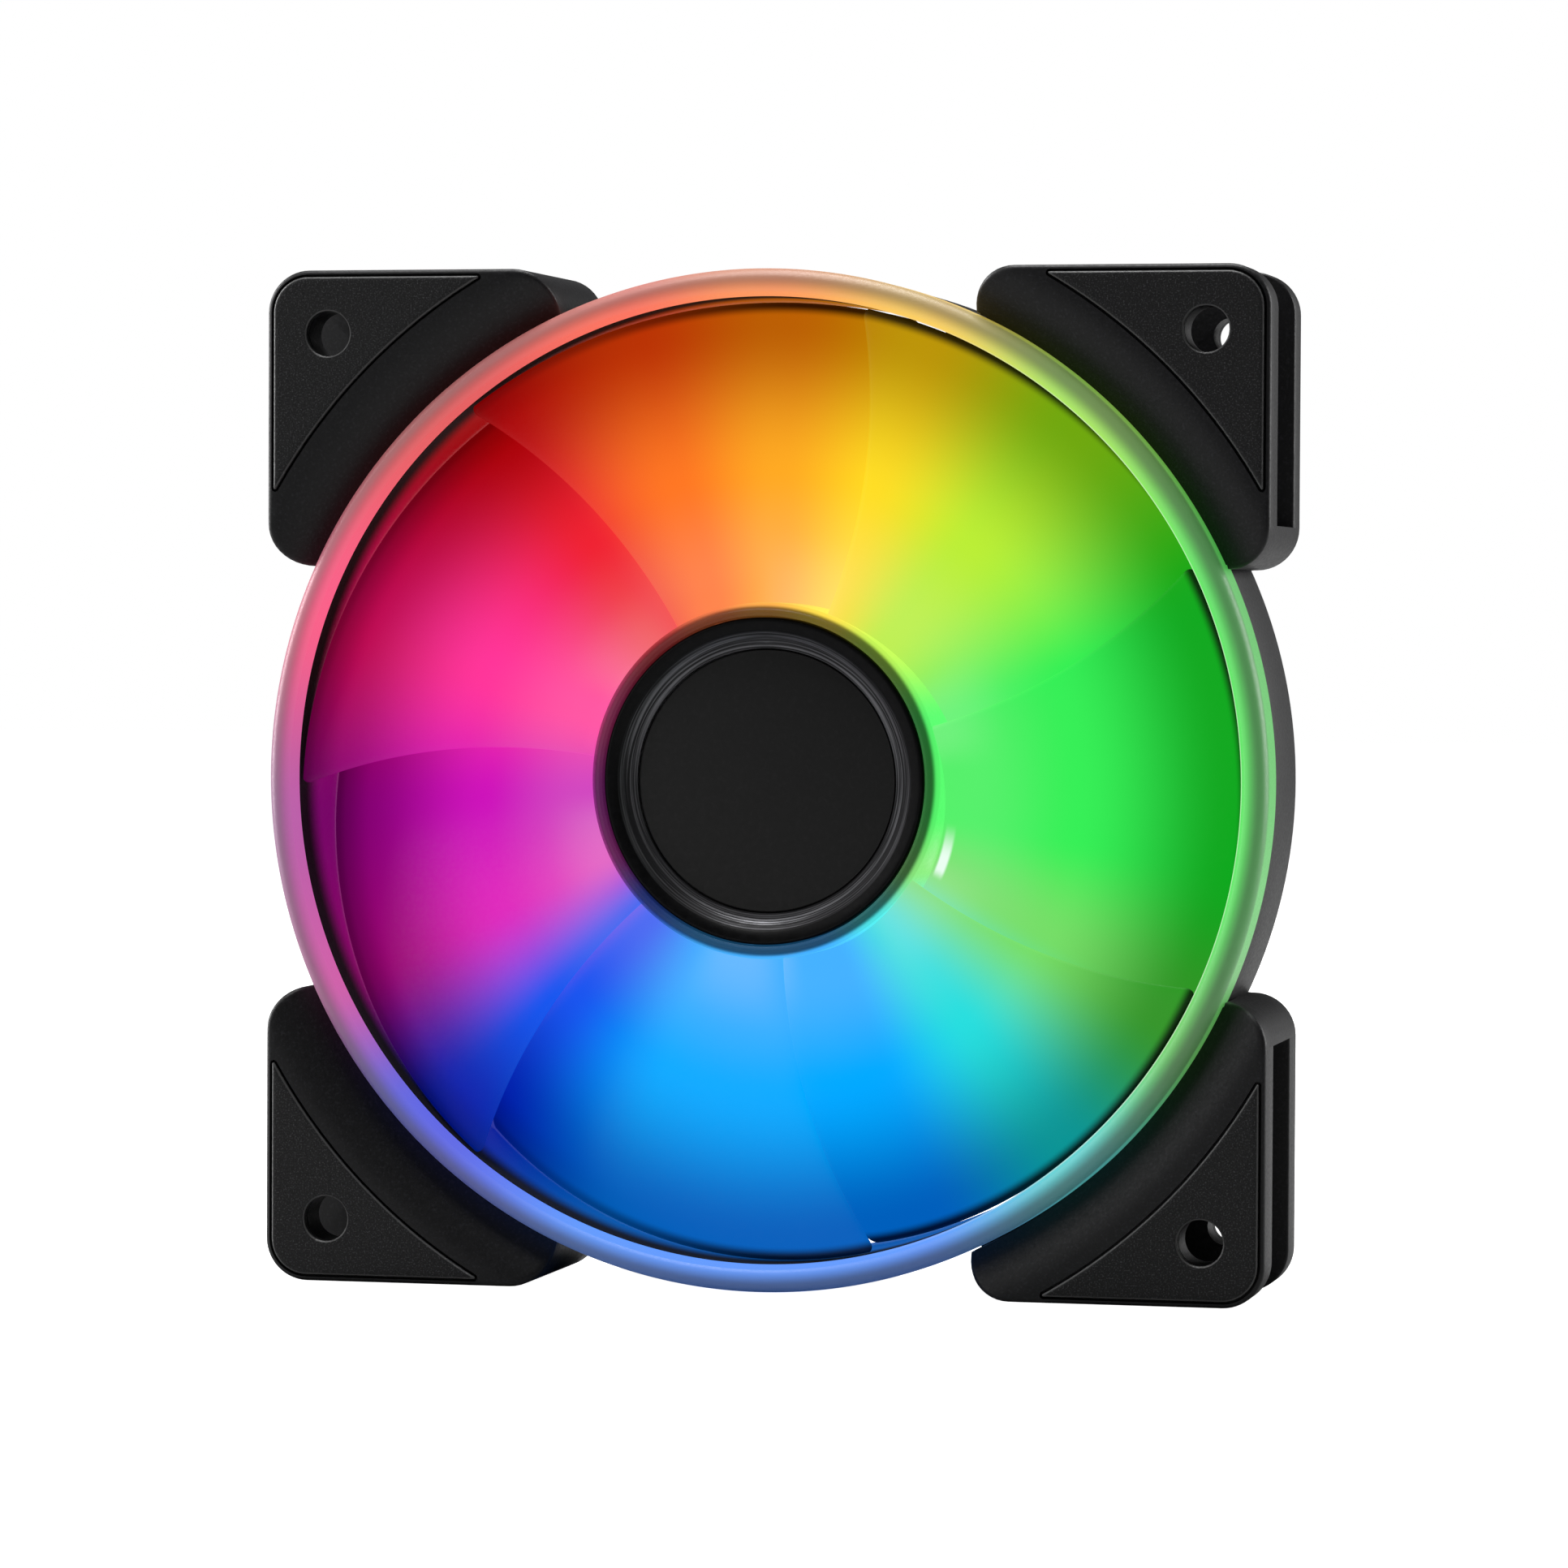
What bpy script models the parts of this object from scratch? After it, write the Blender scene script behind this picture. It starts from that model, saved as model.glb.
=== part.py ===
"""An illuminated square case fan: a moulded frame with a light ring, a glowing impeller and its motor.

The fan is modelled lying on its back, in its own frame: the rotor turns about local Z and the air intake
faces local +Z. One empty, fan_axis, stands it up so that the intake faces -Y, X runs to the right and Z up.
The origin is the middle of the rotor's axis. All sizes below are in millimetres and all angles in degrees.
"""

import math

import bmesh
import bpy

MM = 0.001

# Outside of the frame
WIDTH = 120.0
DEPTH = 25.0
CORNER_REACH = 35.0  # from the corner of the square to the end of a corner block
CORNER_RADIUS = 5.0
BLOCK_END_RADIUS = 5.0
BLOCK_EDGE_ROUND = 0.5
BARREL_INSET = 0.25  # from the side of the square to the outside of the barrel
BARREL_WALL = 2.75
OUTLET_FLARE = 1.2
FRONT_FLANGE = 5.9
REAR_FLANGE = 5.3
SLOT_END_WALL = 5.0
SLOT_FLOOR = 2.05  # material left outside the barrel under a slot
BAND_WIDTH = 7.55  # the curved band between the barrel and a pad
BAND_DROP = 3.4
BAND_BULGE = 0.55

# Screw holes and the rubber pads around them
HOLE_EDGE = 7.5  # from the side of the square to a hole's axis
FRONT_HOLE_RADIUS = 2.7
REAR_HOLE_RADIUS = 2.15
PAD_THICKNESS = 1.3
PAD_PROUD = 0.3
PAD_BORDER = 0.5

# Light ring
RING_INSET = 0.1
RING_LIP = 0.3  # how far the ring's inner edge stands into the bore
RING_HEIGHT = 2.8
SKIRT_HEIGHT = 4.7  # the ring's outer wall, which reaches back over the barrel
SKIRT_WALL = 0.95

# Impeller
BLADES = 7
TIP_CLEARANCE = 0.5
BLADE_OVERLAP = 4.0  # how far a leading edge reaches over the trailing edge of the blade before it
BLADE_SWEEP = 12.0
BLADE_CAMBER = 0.35
BLADE_ROOT_THICKNESS = 2.0
BLADE_TIP_THICKNESS = 1.2
BLADE_TIP_RISE = 1.4  # how much further forward the leading edge is at the tip
TIP_CORNER = 1.2  # radial length over which the tip's corners are rounded
HUB_RADIUS = 20.95
HUB_WALL = 1.45
HUB_SETBACK = 2.5
HUB_FRONT_WALL = 1.4
HUB_ROUND = 2.0
RIM_WIDTH = 1.55

# Hub cap and badge
CAP_DEPTH = 3.8
CAP_SLOPE_WIDTH = 1.5
CAP_FILLET_WIDTH = 1.8
CAP_FLOOR = 0.5
BADGE_RADIUS = 15.4
BADGE_THICKNESS = 0.4

# Motor base and struts
BASE_THICKNESS = 2.4
BASE_RIM_HEIGHT = 1.0  # above the board
BASE_RIM_WALL = 0.95
STRUTS = 4
STRUT_WIDTH = 5.2
STRUT_DEPTH = 3.6
STRUT_ANGLE = 41.0  # clockwise from the top to the first strut's direction, seen from the front
STRUT_OFFSET = 19.0  # from the axis to a strut's centre line
CHANNEL_WIDTH = 2.8
CHANNEL_DEPTH = 2.0
LABEL_RADIUS = 17.0
LABEL_THICKNESS = 0.4

# Rotor magnet and yoke
LIGHT_GAP = 3.3  # between yoke and hub wall, where the light passes
YOKE_WALL = 0.9
MAGNET_THICKNESS = 1.5
AIR_GAP = 0.5

# Stator
POLES = 4
POLE_TIP = 1.6
POLE_TIP_ANGLE = 70.0
POLE_LEG_WIDTH = 4.0
CORE_HUB_WALL = 1.9
BOBBIN_PLATE = 0.7
COIL_WALL = 1.3
COIL_CORNER = 0.8

# Bearing and shaft
SHAFT_RADIUS = 1.5
SLEEVE_WALL = 1.35
TUBE_WALL = 1.0
TUBE_SOCKET_WALL = 1.5
BOSS_WALL = 1.6
BOSS_LENGTH = 3.4
GROOVE_DEPTH = 0.45
GROOVE_WIDTH = 0.6
CLIP_THICKNESS = 0.3
CLIP_SLIT = 1.2
THRUST_PAD_RADIUS = 2.0
THRUST_PAD_THICKNESS = 0.4
PLUG_THICKNESS = 0.6
SLINGER_THICKNESS = 0.3
SLINGER_WALL = 0.9

# Circuit board
BOARD_THICKNESS = 1.0
LEDS = 6
LED_FIRST_ANGLE = 10.0
LED_SIZE = (3.4, 2.6, 1.3)  # along the rim, across it, and high
DRIVER_SIZE = (4.0, 3.2, 0.8)
SENSOR_SIZE = (3.0, 1.4, 1.4)
CAPACITOR_SIZE = (2.0, 1.2, 0.7)
CHIP_RING = 11.6  # distance of the chips from the axis

# Clearances
FIT = 0.2
SEAT_GAP = 0.3
RUN = 0.06
ROTOR_GAP = 0.6
COIL_CLEARANCE = 0.7

# Facets round a full turn
LARGE_STEPS = 60
HUB_STEPS = 40
SMALL_STEPS = 20

# Places along the axis, worked out from the sizes above
PAD_FRONT = DEPTH / 2
FLANGE_FRONT = PAD_FRONT - PAD_PROUD
FLANGE_REAR = -FLANGE_FRONT
RING_BOTTOM = PAD_FRONT - RING_HEIGHT
RING_SEAT = RING_BOTTOM - SEAT_GAP
SKIRT_BOTTOM = RING_BOTTOM - SKIRT_HEIGHT
REBATE_FLOOR = SKIRT_BOTTOM - SEAT_GAP

BASE_TOP = FLANGE_REAR + BASE_THICKNESS
BOARD_BOTTOM = BASE_TOP + FIT
BOARD_TOP = BOARD_BOTTOM + BOARD_THICKNESS
CHIP_BOTTOM = BOARD_TOP + FIT
BASE_RIM_TOP = BOARD_TOP + BASE_RIM_HEIGHT
HUB_REAR = BASE_RIM_TOP + ROTOR_GAP
HUB_FRONT = PAD_FRONT - HUB_SETBACK
CAP_SEAT = HUB_FRONT - CAP_DEPTH
HUB_INSIDE = CAP_SEAT - HUB_FRONT_WALL
YOKE_FRONT = HUB_INSIDE - SEAT_GAP
YOKE_INSIDE = YOKE_FRONT - YOKE_WALL
YOKE_REAR = HUB_REAR + SEAT_GAP + FIT
COIL_REAR = BOARD_TOP + COIL_CLEARANCE
COIL_FRONT = YOKE_INSIDE - COIL_CLEARANCE - SEAT_GAP
COIL_OVERHANG = BOBBIN_PLATE + 2 * FIT + COIL_WALL
CORE_REAR = COIL_REAR + COIL_OVERHANG
CORE_FRONT = COIL_FRONT - COIL_OVERHANG
BLADE_REAR = HUB_REAR + ROTOR_GAP
BLADE_FRONT = HUB_FRONT - HUB_ROUND - ROTOR_GAP
BOSS_FRONT = CAP_SEAT - SEAT_GAP
BOSS_REAR = BOSS_FRONT - BOSS_LENGTH
TUBE_FRONT = BOSS_REAR - ROTOR_GAP
LABEL_SEAT = FLANGE_REAR + LABEL_THICKNESS + FIT + SEAT_GAP
TUBE_REAR = LABEL_SEAT + FIT
PLUG_REAR = TUBE_REAR + FIT
THRUST_REAR = PLUG_REAR + PLUG_THICKNESS + FIT
SHAFT_REAR = THRUST_REAR + THRUST_PAD_THICKNESS + FIT
GROOVE_REAR = SHAFT_REAR + GROOVE_WIDTH
SLEEVE_REAR = GROOVE_REAR + GROOVE_WIDTH + FIT
SLINGER_FRONT = BOSS_REAR - FIT
SLEEVE_FRONT = SLINGER_FRONT - SLINGER_THICKNESS - FIT

# Distances from the axis, worked out from the sizes above
HALF_WIDTH = WIDTH / 2
BARREL_OUTER = HALF_WIDTH - BARREL_INSET
BORE = BARREL_OUTER - BARREL_WALL
RING_OUTER = HALF_WIDTH - RING_INSET
RING_INNER = BORE - RING_LIP
SKIRT_INNER = RING_OUTER - SKIRT_WALL
BAND_OUTER = BARREL_OUTER + BAND_WIDTH
HOLE_PLACE = HALF_WIDTH - HOLE_EDGE
TIP_RADIUS = BORE - TIP_CLEARANCE
HUB_INNER = HUB_RADIUS - HUB_WALL
CAP_POCKET = HUB_RADIUS - RIM_WIDTH
CAP_RADIUS = CAP_POCKET - FIT
YOKE_RADIUS = HUB_INNER - LIGHT_GAP
MAGNET_RADIUS = YOKE_RADIUS - YOKE_WALL - FIT
MAGNET_INNER = MAGNET_RADIUS - MAGNET_THICKNESS
CORE_RADIUS = MAGNET_INNER - AIR_GAP
SLEEVE_BORE = SHAFT_RADIUS + RUN
SLEEVE_RADIUS = SLEEVE_BORE + SLEEVE_WALL
TUBE_BORE = SLEEVE_RADIUS + RUN
TUBE_RADIUS = TUBE_BORE + TUBE_WALL
SOCKET_BORE = TUBE_RADIUS + FIT
SOCKET_RADIUS = SOCKET_BORE + TUBE_SOCKET_WALL
CORE_HUB_RADIUS = SOCKET_BORE + CORE_HUB_WALL
BOARD_HOLE = SOCKET_RADIUS + SEAT_GAP
BOARD_RADIUS = HUB_RADIUS - BASE_RIM_WALL - FIT
LED_PLACE = YOKE_RADIUS + LIGHT_GAP / 2
BOSS_BORE = SHAFT_RADIUS + RUN
BOSS_RADIUS = BOSS_BORE + BOSS_WALL


def clear_scene():
    """Removes every object that the scene starts with."""
    for found in list(bpy.data.objects):
        bpy.data.objects.remove(found, do_unlink=True)


def new_collection(name):
    made = bpy.data.collections.new(name)
    bpy.context.scene.collection.children.link(made)
    return made


def new_axis(name, parent=None):
    """An empty that pieces are placed under."""
    axis = bpy.data.objects.new(name, None)
    axis.empty_display_size = WIDTH / 2 * MM
    axis.parent = parent
    FAN.objects.link(axis)
    return axis


def plastic(name, colour, roughness, metallic=0.0):
    """A Principled material of one colour."""
    made = bpy.data.materials.new(name)
    made.use_nodes = True
    shader = made.node_tree.nodes["Principled BSDF"]
    shader.inputs["Base Color"].default_value = (*colour, 1.0)
    shader.inputs["Roughness"].default_value = roughness
    shader.inputs["Metallic"].default_value = metallic
    return made


def place(name, data, material, parent, height=0.0, turn=0.0):
    """Puts mesh or curve data into the fan's collection, under an axis."""
    piece = bpy.data.objects.new(name, data)
    FAN.objects.link(piece)
    if not data.materials:
        data.materials.append(material)
    piece.parent = parent
    piece.location.z = height * MM
    piece.rotation_euler.z = math.radians(turn)
    return piece


def arc(centre_x, centre_y, radius, start, end, count):
    """Points along an arc from one angle to another, both ends included."""
    points = []
    for index in range(count + 1):
        angle = math.radians(start + (end - start) * index / count)
        points.append((centre_x + radius * math.cos(angle), centre_y + radius * math.sin(angle)))
    return points


def turned(name, profile, material, parent, steps):
    """A turned solid. The closed profile runs down its outer side and up its inner side, as (radius, height)."""
    mesh = bpy.data.meshes.new(name)
    corners = [(radius * MM, 0.0, height * MM) for radius, height in profile]
    edges = [(index, (index + 1) % len(corners)) for index in range(len(corners))]
    mesh.from_pydata(corners, edges, [])
    piece = place(name, mesh, material, parent)
    screw = piece.modifiers.new("Turn", "SCREW")
    screw.axis = "Z"
    screw.angle = math.tau
    screw.steps = steps
    screw.render_steps = steps
    screw.use_smooth_shade = True
    screw.use_merge_vertices = True
    screw.merge_threshold = 0.00001
    return piece


def ring_profile(inner, outer, bottom, top):
    """The rectangular profile of a plain ring, or of a disc if inner is 0."""
    return [(outer, top), (outer, bottom), (inner, bottom), (inner, top)]


def prism(name, outlines, bottom, top, material, parent, turn=0.0):
    """A flat outline, with any holes in it, raised between two heights. It is a filled 2D curve."""
    curve = bpy.data.curves.new(name, "CURVE")
    curve.dimensions = "2D"
    curve.fill_mode = "BOTH"
    curve.extrude = (top - bottom) / 2 * MM
    for outline in outlines:
        spline = curve.splines.new("POLY")
        spline.points.add(len(outline) - 1)
        for point, (x, y) in zip(spline.points, outline):
            point.co = (x * MM, y * MM, 0.0, 1.0)
        spline.use_cyclic_u = True
    return place(name, curve, material, parent, (bottom + top) / 2, turn)


def to_mesh(piece):
    """The same piece as a mesh with its caps welded on. It replaces the curve."""
    bpy.context.view_layer.update()
    evaluated = piece.evaluated_get(bpy.context.evaluated_depsgraph_get())
    mesh = bpy.data.meshes.new_from_object(evaluated)
    shape = bmesh.new()
    shape.from_mesh(mesh)
    bmesh.ops.remove_doubles(shape, verts=shape.verts, dist=0.00001)
    bmesh.ops.recalc_face_normals(shape, faces=shape.faces)
    shape.to_mesh(mesh)
    shape.free()
    name, parent, world = piece.name, piece.parent, piece.matrix_world.copy()
    bpy.data.objects.remove(piece, do_unlink=True)
    mesh.name = name
    made = bpy.data.objects.new(name, mesh)
    FAN.objects.link(made)
    made.parent = parent
    made.matrix_world = world
    return made


def block(name, size, centre, material, parent, turn=0.0):
    """A box of a size about a centre, turned about the axis afterwards."""
    mesh = bpy.data.meshes.new(name)
    shape = bmesh.new()
    bmesh.ops.create_cube(shape, size=1.0)
    bmesh.ops.scale(shape, vec=[side * MM for side in size], verts=shape.verts)
    bmesh.ops.translate(shape, vec=[place_mm * MM for place_mm in centre], verts=shape.verts)
    shape.to_mesh(mesh)
    shape.free()
    return place(name, mesh, material, parent, turn=turn)


def peg(name, radius, bottom, top, centre, material, parent):
    """A cylinder along the axis direction, standing away from the axis."""
    mesh = bpy.data.meshes.new(name)
    shape = bmesh.new()
    bmesh.ops.create_cone(
        shape,
        cap_ends=True,
        segments=SMALL_STEPS,
        radius1=radius * MM,
        radius2=radius * MM,
        depth=(top - bottom) * MM,
    )
    bmesh.ops.translate(
        shape, vec=(centre[0] * MM, centre[1] * MM, (bottom + top) / 2 * MM), verts=shape.verts
    )
    shape.to_mesh(mesh)
    shape.free()
    return place(name, mesh, material, parent)


def rounded(piece, width, segments=2, angle=50.0):
    """Rounds the sharp edges of a piece."""
    bevel = piece.modifiers.new("Round", "BEVEL")
    bevel.width = width * MM
    bevel.segments = segments
    bevel.limit_method = "ANGLE"
    bevel.angle_limit = math.radians(angle)
    return piece


def combine(target, tool, operation):
    """Joins a tool to the target, or cuts it away, and puts the tool among the hidden ones."""
    change = target.modifiers.new(tool.name, "BOOLEAN")
    change.operation = operation
    change.object = tool
    change.solver = "EXACT"
    FAN.objects.unlink(tool)
    TOOLS.objects.link(tool)
    tool.hide_render = True
    tool.display_type = "WIRE"


# Frame


def corner_outline():
    """A corner block seen from the front: a square corner with two rounded ends, let into the barrel's wall."""
    near = HALF_WIDTH - CORNER_REACH
    inside = (BORE + BARREL_OUTER) / 2
    reach = math.sqrt(inside**2 - near**2)
    low = math.degrees(math.atan2(near, reach))
    corner = HALF_WIDTH - CORNER_RADIUS
    end = near + BLOCK_END_RADIUS
    top = HALF_WIDTH - BLOCK_END_RADIUS
    outline = arc(0.0, 0.0, inside, low, 90.0 - low, 10)
    outline += arc(end, top, BLOCK_END_RADIUS, 180.0, 90.0, 5)
    outline += arc(corner, corner, CORNER_RADIUS, 90.0, 0.0, 5)
    outline += arc(top, end, BLOCK_END_RADIUS, 0.0, -90.0, 5)
    return outline


def slot_outline():
    """The gap between a corner's two flanges, open to both outer sides."""
    near = HALF_WIDTH - CORNER_REACH + SLOT_END_WALL
    floor = BARREL_OUTER + SLOT_FLOOR
    low = math.degrees(math.asin(near / floor))
    past = HALF_WIDTH + CORNER_RADIUS
    return arc(0.0, 0.0, floor, low, 90.0 - low, 10) + [(near, past), (past, past), (past, near)]


def pad_outline(border):
    """A pad: the part of the corner beyond the curved band, inside a border."""
    side = HALF_WIDTH - border
    band = BAND_OUTER + border
    end = math.sqrt(band**2 - side**2)
    low = math.degrees(math.atan2(end, side))
    radius = CORNER_RADIUS - border
    corner = HALF_WIDTH - CORNER_RADIUS
    return arc(0.0, 0.0, band, low, 90.0 - low, 12) + arc(corner, corner, radius, 90.0, 0.0, 5)


def front_cutter_profile():
    """What is cut from the frame's front: the ring's seat and rebate, and the curved bands of the corners."""
    band_start = RING_OUTER + FIT
    low = FLANGE_FRONT - BAND_DROP
    over = FLANGE_FRONT + CORNER_RADIUS
    band = []
    count = 5
    for index in range(count + 1):
        share = index / count
        radius = BAND_OUTER + (band_start - BAND_OUTER) * share
        height = FLANGE_FRONT - BAND_DROP * share + BAND_BULGE * math.sin(math.pi * share)
        band.append((radius, height))
    slope = (BAND_DROP - math.pi * BAND_BULGE) / BAND_WIDTH
    past = BAND_OUTER + BAND_BULGE
    outer_side = [(past, over), (past, FLANGE_FRONT + slope * BAND_BULGE + SEAT_GAP)]
    rebate = SKIRT_INNER - FIT
    seat = [(band_start, low), (band_start, REBATE_FLOOR), (rebate, REBATE_FLOOR), (rebate, RING_SEAT)]
    inside = BORE - BARREL_WALL
    return outer_side + band[:-1] + seat + [(inside, RING_SEAT), (inside, over)]


def make_motor_base(material):
    """The round base that carries the motor, with its socket, its rim and the recess for the label."""
    profile = [
        (HUB_RADIUS, BASE_RIM_TOP),
        (HUB_RADIUS, FLANGE_REAR),
        (LABEL_RADIUS + FIT, FLANGE_REAR),
        (LABEL_RADIUS + FIT, LABEL_SEAT),
        (SOCKET_BORE, LABEL_SEAT),
        (SOCKET_BORE, BOARD_TOP),
        (SOCKET_RADIUS, BOARD_TOP),
        (SOCKET_RADIUS, BASE_TOP),
        (HUB_RADIUS - BASE_RIM_WALL, BASE_TOP),
        (HUB_RADIUS - BASE_RIM_WALL, BASE_RIM_TOP),
    ]
    return turned("motor_base", profile, material, FAN_AXIS, HUB_STEPS)


def make_strut(index, material):
    """A straight strut that leaves the motor base beside the axis and ends inside the barrel's wall."""
    wall = (BORE + BARREL_OUTER) / 2
    far = math.sqrt(wall**2 - STRUT_OFFSET**2)
    return block(
        f"strut_{index + 1}",
        (STRUT_WIDTH, far, STRUT_DEPTH),
        (-STRUT_OFFSET, far / 2, FLANGE_REAR + STRUT_DEPTH / 2),
        material,
        FAN_AXIS,
        turn=-STRUT_ANGLE - index * 360.0 / STRUTS,
    )


def make_frame(material):
    """The moulded frame: barrel, corner blocks, motor base and struts in one piece."""
    flare = BORE + OUTLET_FLARE
    barrel = [
        (BARREL_OUTER, FLANGE_FRONT),
        (BARREL_OUTER, FLANGE_REAR),
        (flare, FLANGE_REAR),
        (BORE, FLANGE_REAR + OUTLET_FLARE),
        (BORE, FLANGE_FRONT),
    ]
    frame = turned("frame", barrel, material, FAN_AXIS, LARGE_STEPS)
    base = make_motor_base(material)
    quarter_turns = [index * 90.0 for index in range(4)]
    for index, turn in enumerate(quarter_turns):
        corner = prism(
            f"corner_block_{index + 1}", [corner_outline()], FLANGE_REAR, FLANGE_FRONT, material, FAN_AXIS, turn
        )
        corner = rounded(to_mesh(corner), BLOCK_EDGE_ROUND)
        combine(frame, corner, "UNION")
    rim_middle = HUB_RADIUS - BASE_RIM_WALL / 2
    inside_rim = ring_profile(0.0, rim_middle, FLANGE_REAR - STRUT_DEPTH, BASE_RIM_TOP + STRUT_DEPTH)
    for index in range(STRUTS):
        strut = make_strut(index, material)
        cutter = turned(f"inside_rim_{index + 1}", inside_rim, material, FAN_AXIS, HUB_STEPS)
        combine(strut, cutter, "DIFFERENCE")
        combine(base, strut, "UNION")
    combine(frame, base, "UNION")
    combine(frame, turned("front_cutter", front_cutter_profile(), material, FAN_AXIS, LARGE_STEPS), "DIFFERENCE")
    slot_bottom = FLANGE_REAR + REAR_FLANGE
    slot_top = FLANGE_FRONT - FRONT_FLANGE
    recess = PAD_THICKNESS - PAD_PROUD + SEAT_GAP
    over = 2.0
    for index, turn in enumerate(quarter_turns):
        slot = prism(f"slot_{index + 1}", [slot_outline()], slot_bottom, slot_top, material, FAN_AXIS, turn)
        combine(frame, to_mesh(slot), "DIFFERENCE")
        for side, bottom, top in (
            ("front", FLANGE_FRONT - recess, FLANGE_FRONT + over),
            ("rear", FLANGE_REAR - over, FLANGE_REAR + recess),
        ):
            pocket = prism(
                f"pad_pocket_{side}_{index + 1}", [pad_outline(PAD_BORDER)], bottom, top, material, FAN_AXIS, turn
            )
            combine(frame, to_mesh(pocket), "DIFFERENCE")
    for index, (right, up) in enumerate(((1, 1), (-1, 1), (-1, -1), (1, -1))):
        centre = (right * HOLE_PLACE, up * HOLE_PLACE)
        front = peg(
            f"front_hole_{index + 1}", FRONT_HOLE_RADIUS, slot_top - over, PAD_FRONT, centre, material, FAN_AXIS
        )
        rear = peg(
            f"rear_hole_{index + 1}", REAR_HOLE_RADIUS, -PAD_FRONT, slot_bottom + over, centre, material, FAN_AXIS
        )
        combine(frame, front, "DIFFERENCE")
        combine(frame, rear, "DIFFERENCE")
    start = math.sqrt(HUB_RADIUS**2 - STRUT_OFFSET**2)
    channel = block(
        "cable_channel",
        (CHANNEL_WIDTH, HALF_WIDTH, 2 * CHANNEL_DEPTH),
        (-STRUT_OFFSET, start + HALF_WIDTH / 2, FLANGE_REAR),
        material,
        FAN_AXIS,
        turn=-STRUT_ANGLE,
    )
    combine(frame, channel, "DIFFERENCE")
    return frame


def make_light_ring(material):
    """The diffuser: a rounded ring, highest near its inner edge, with a skirt that reaches back over the barrel."""
    width = RING_OUTER - RING_INNER
    crest = RING_INNER + width * 0.3
    profile = [
        (crest, PAD_FRONT),
        (RING_INNER + width * 0.6, PAD_FRONT - 0.28),
        (RING_INNER + width * 0.85, PAD_FRONT - 1.1),
        (RING_OUTER, PAD_FRONT - 2.1),
        (RING_OUTER, SKIRT_BOTTOM),
        (SKIRT_INNER, SKIRT_BOTTOM),
        (SKIRT_INNER, RING_BOTTOM),
        (RING_INNER, RING_BOTTOM),
        (RING_INNER, PAD_FRONT - 0.7),
        (RING_INNER + width * 0.12, PAD_FRONT - 0.15),
    ]
    return turned("light_ring", profile, material, FAN_AXIS, LARGE_STEPS)


def make_pads(material):
    """Four rubber pads on the front and four on the rear, each with its screw hole."""
    corners = ("top_right", "top_left", "bottom_left", "bottom_right")
    hole = {"front": FRONT_HOLE_RADIUS, "rear": REAR_HOLE_RADIUS}
    top = {"front": PAD_FRONT, "rear": PAD_THICKNESS - PAD_FRONT}
    for side in ("front", "rear"):
        circle = arc(HOLE_PLACE, HOLE_PLACE, hole[side], 0.0, 360.0, SMALL_STEPS)[:-1]
        for index, corner in enumerate(corners):
            prism(
                f"pad_{side}_{corner}",
                [pad_outline(PAD_BORDER + SEAT_GAP), circle],
                top[side] - PAD_THICKNESS,
                top[side],
                material,
                FAN_AXIS,
                turn=index * 90.0,
            )


# Impeller


def blade_section(radius):
    """A blade's section at one radius, as a closed loop of points round the leading edge and back."""
    root = (HUB_RADIUS + HUB_INNER) / 2
    share = (radius - root) / (TIP_RADIUS - root)
    near_tip = max(0.0, (radius - TIP_RADIUS + TIP_CORNER) / TIP_CORNER)
    corner_cut = TIP_CORNER * (1.0 - math.sqrt(1.0 - 0.9 * near_tip**2))
    chord = math.tau / BLADES + (BLADE_OVERLAP - 2.0 * corner_cut) / radius
    middle = math.radians(BLADE_SWEEP) * share**1.3
    front = BLADE_FRONT + BLADE_TIP_RISE * share
    thickness = BLADE_ROOT_THICKNESS + (BLADE_TIP_THICKNESS - BLADE_ROOT_THICKNESS) * share
    stations = 6
    upper, lower = [], []
    for index in range(stations + 1):
        along = (1.0 - math.cos(math.pi * index / stations)) / 2.0
        angle = middle + (0.5 - along) * chord
        drop = (1.0 - BLADE_CAMBER) * along + BLADE_CAMBER * along**2
        height = front + (BLADE_REAR - front) * drop
        half = thickness / 2.0 * (0.3 + 0.7 * math.sin(math.pi * min(1.0, along * 1.1 + 0.05)) ** 0.6)
        x, y = radius * math.cos(angle), radius * math.sin(angle)
        upper.append((x, y, height + half))
        lower.append((x, y, height - half))
    return upper, lower


def make_blade(index, material):
    """One blade: sections from the hub's wall to the tip, joined by quads, with laddered ends."""
    root = (HUB_RADIUS + HUB_INNER) / 2
    spans = 6
    radii = [root + (TIP_RADIUS - TIP_CORNER - root) * step / spans for step in range(spans + 1)]
    radii += [TIP_RADIUS - TIP_CORNER * 0.5, TIP_RADIUS - TIP_CORNER * 0.15, TIP_RADIUS]
    shape = bmesh.new()
    rows = []
    for radius in radii:
        upper, lower = blade_section(radius)
        rows.append(
            [
                [shape.verts.new([value * MM for value in point]) for point in upper],
                [shape.verts.new([value * MM for value in point]) for point in lower],
            ]
        )
    for (upper, lower), (next_upper, next_lower) in zip(rows, rows[1:]):
        for step in range(len(upper) - 1):
            shape.faces.new((upper[step], upper[step + 1], next_upper[step + 1], next_upper[step]))
            shape.faces.new((lower[step], next_lower[step], next_lower[step + 1], lower[step + 1]))
        for edge in (0, -1):
            shape.faces.new((upper[edge], next_upper[edge], next_lower[edge], lower[edge]))
    for upper, lower in (rows[0], rows[-1]):
        for step in range(len(upper) - 1):
            shape.faces.new((upper[step], lower[step], lower[step + 1], upper[step + 1]))
    bmesh.ops.recalc_face_normals(shape, faces=shape.faces)
    mesh = bpy.data.meshes.new(f"blade_{index + 1}")
    shape.to_mesh(mesh)
    shape.free()
    return place(mesh.name, mesh, material, ROTOR_AXIS, turn=90.0 + index * 360.0 / BLADES)


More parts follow.
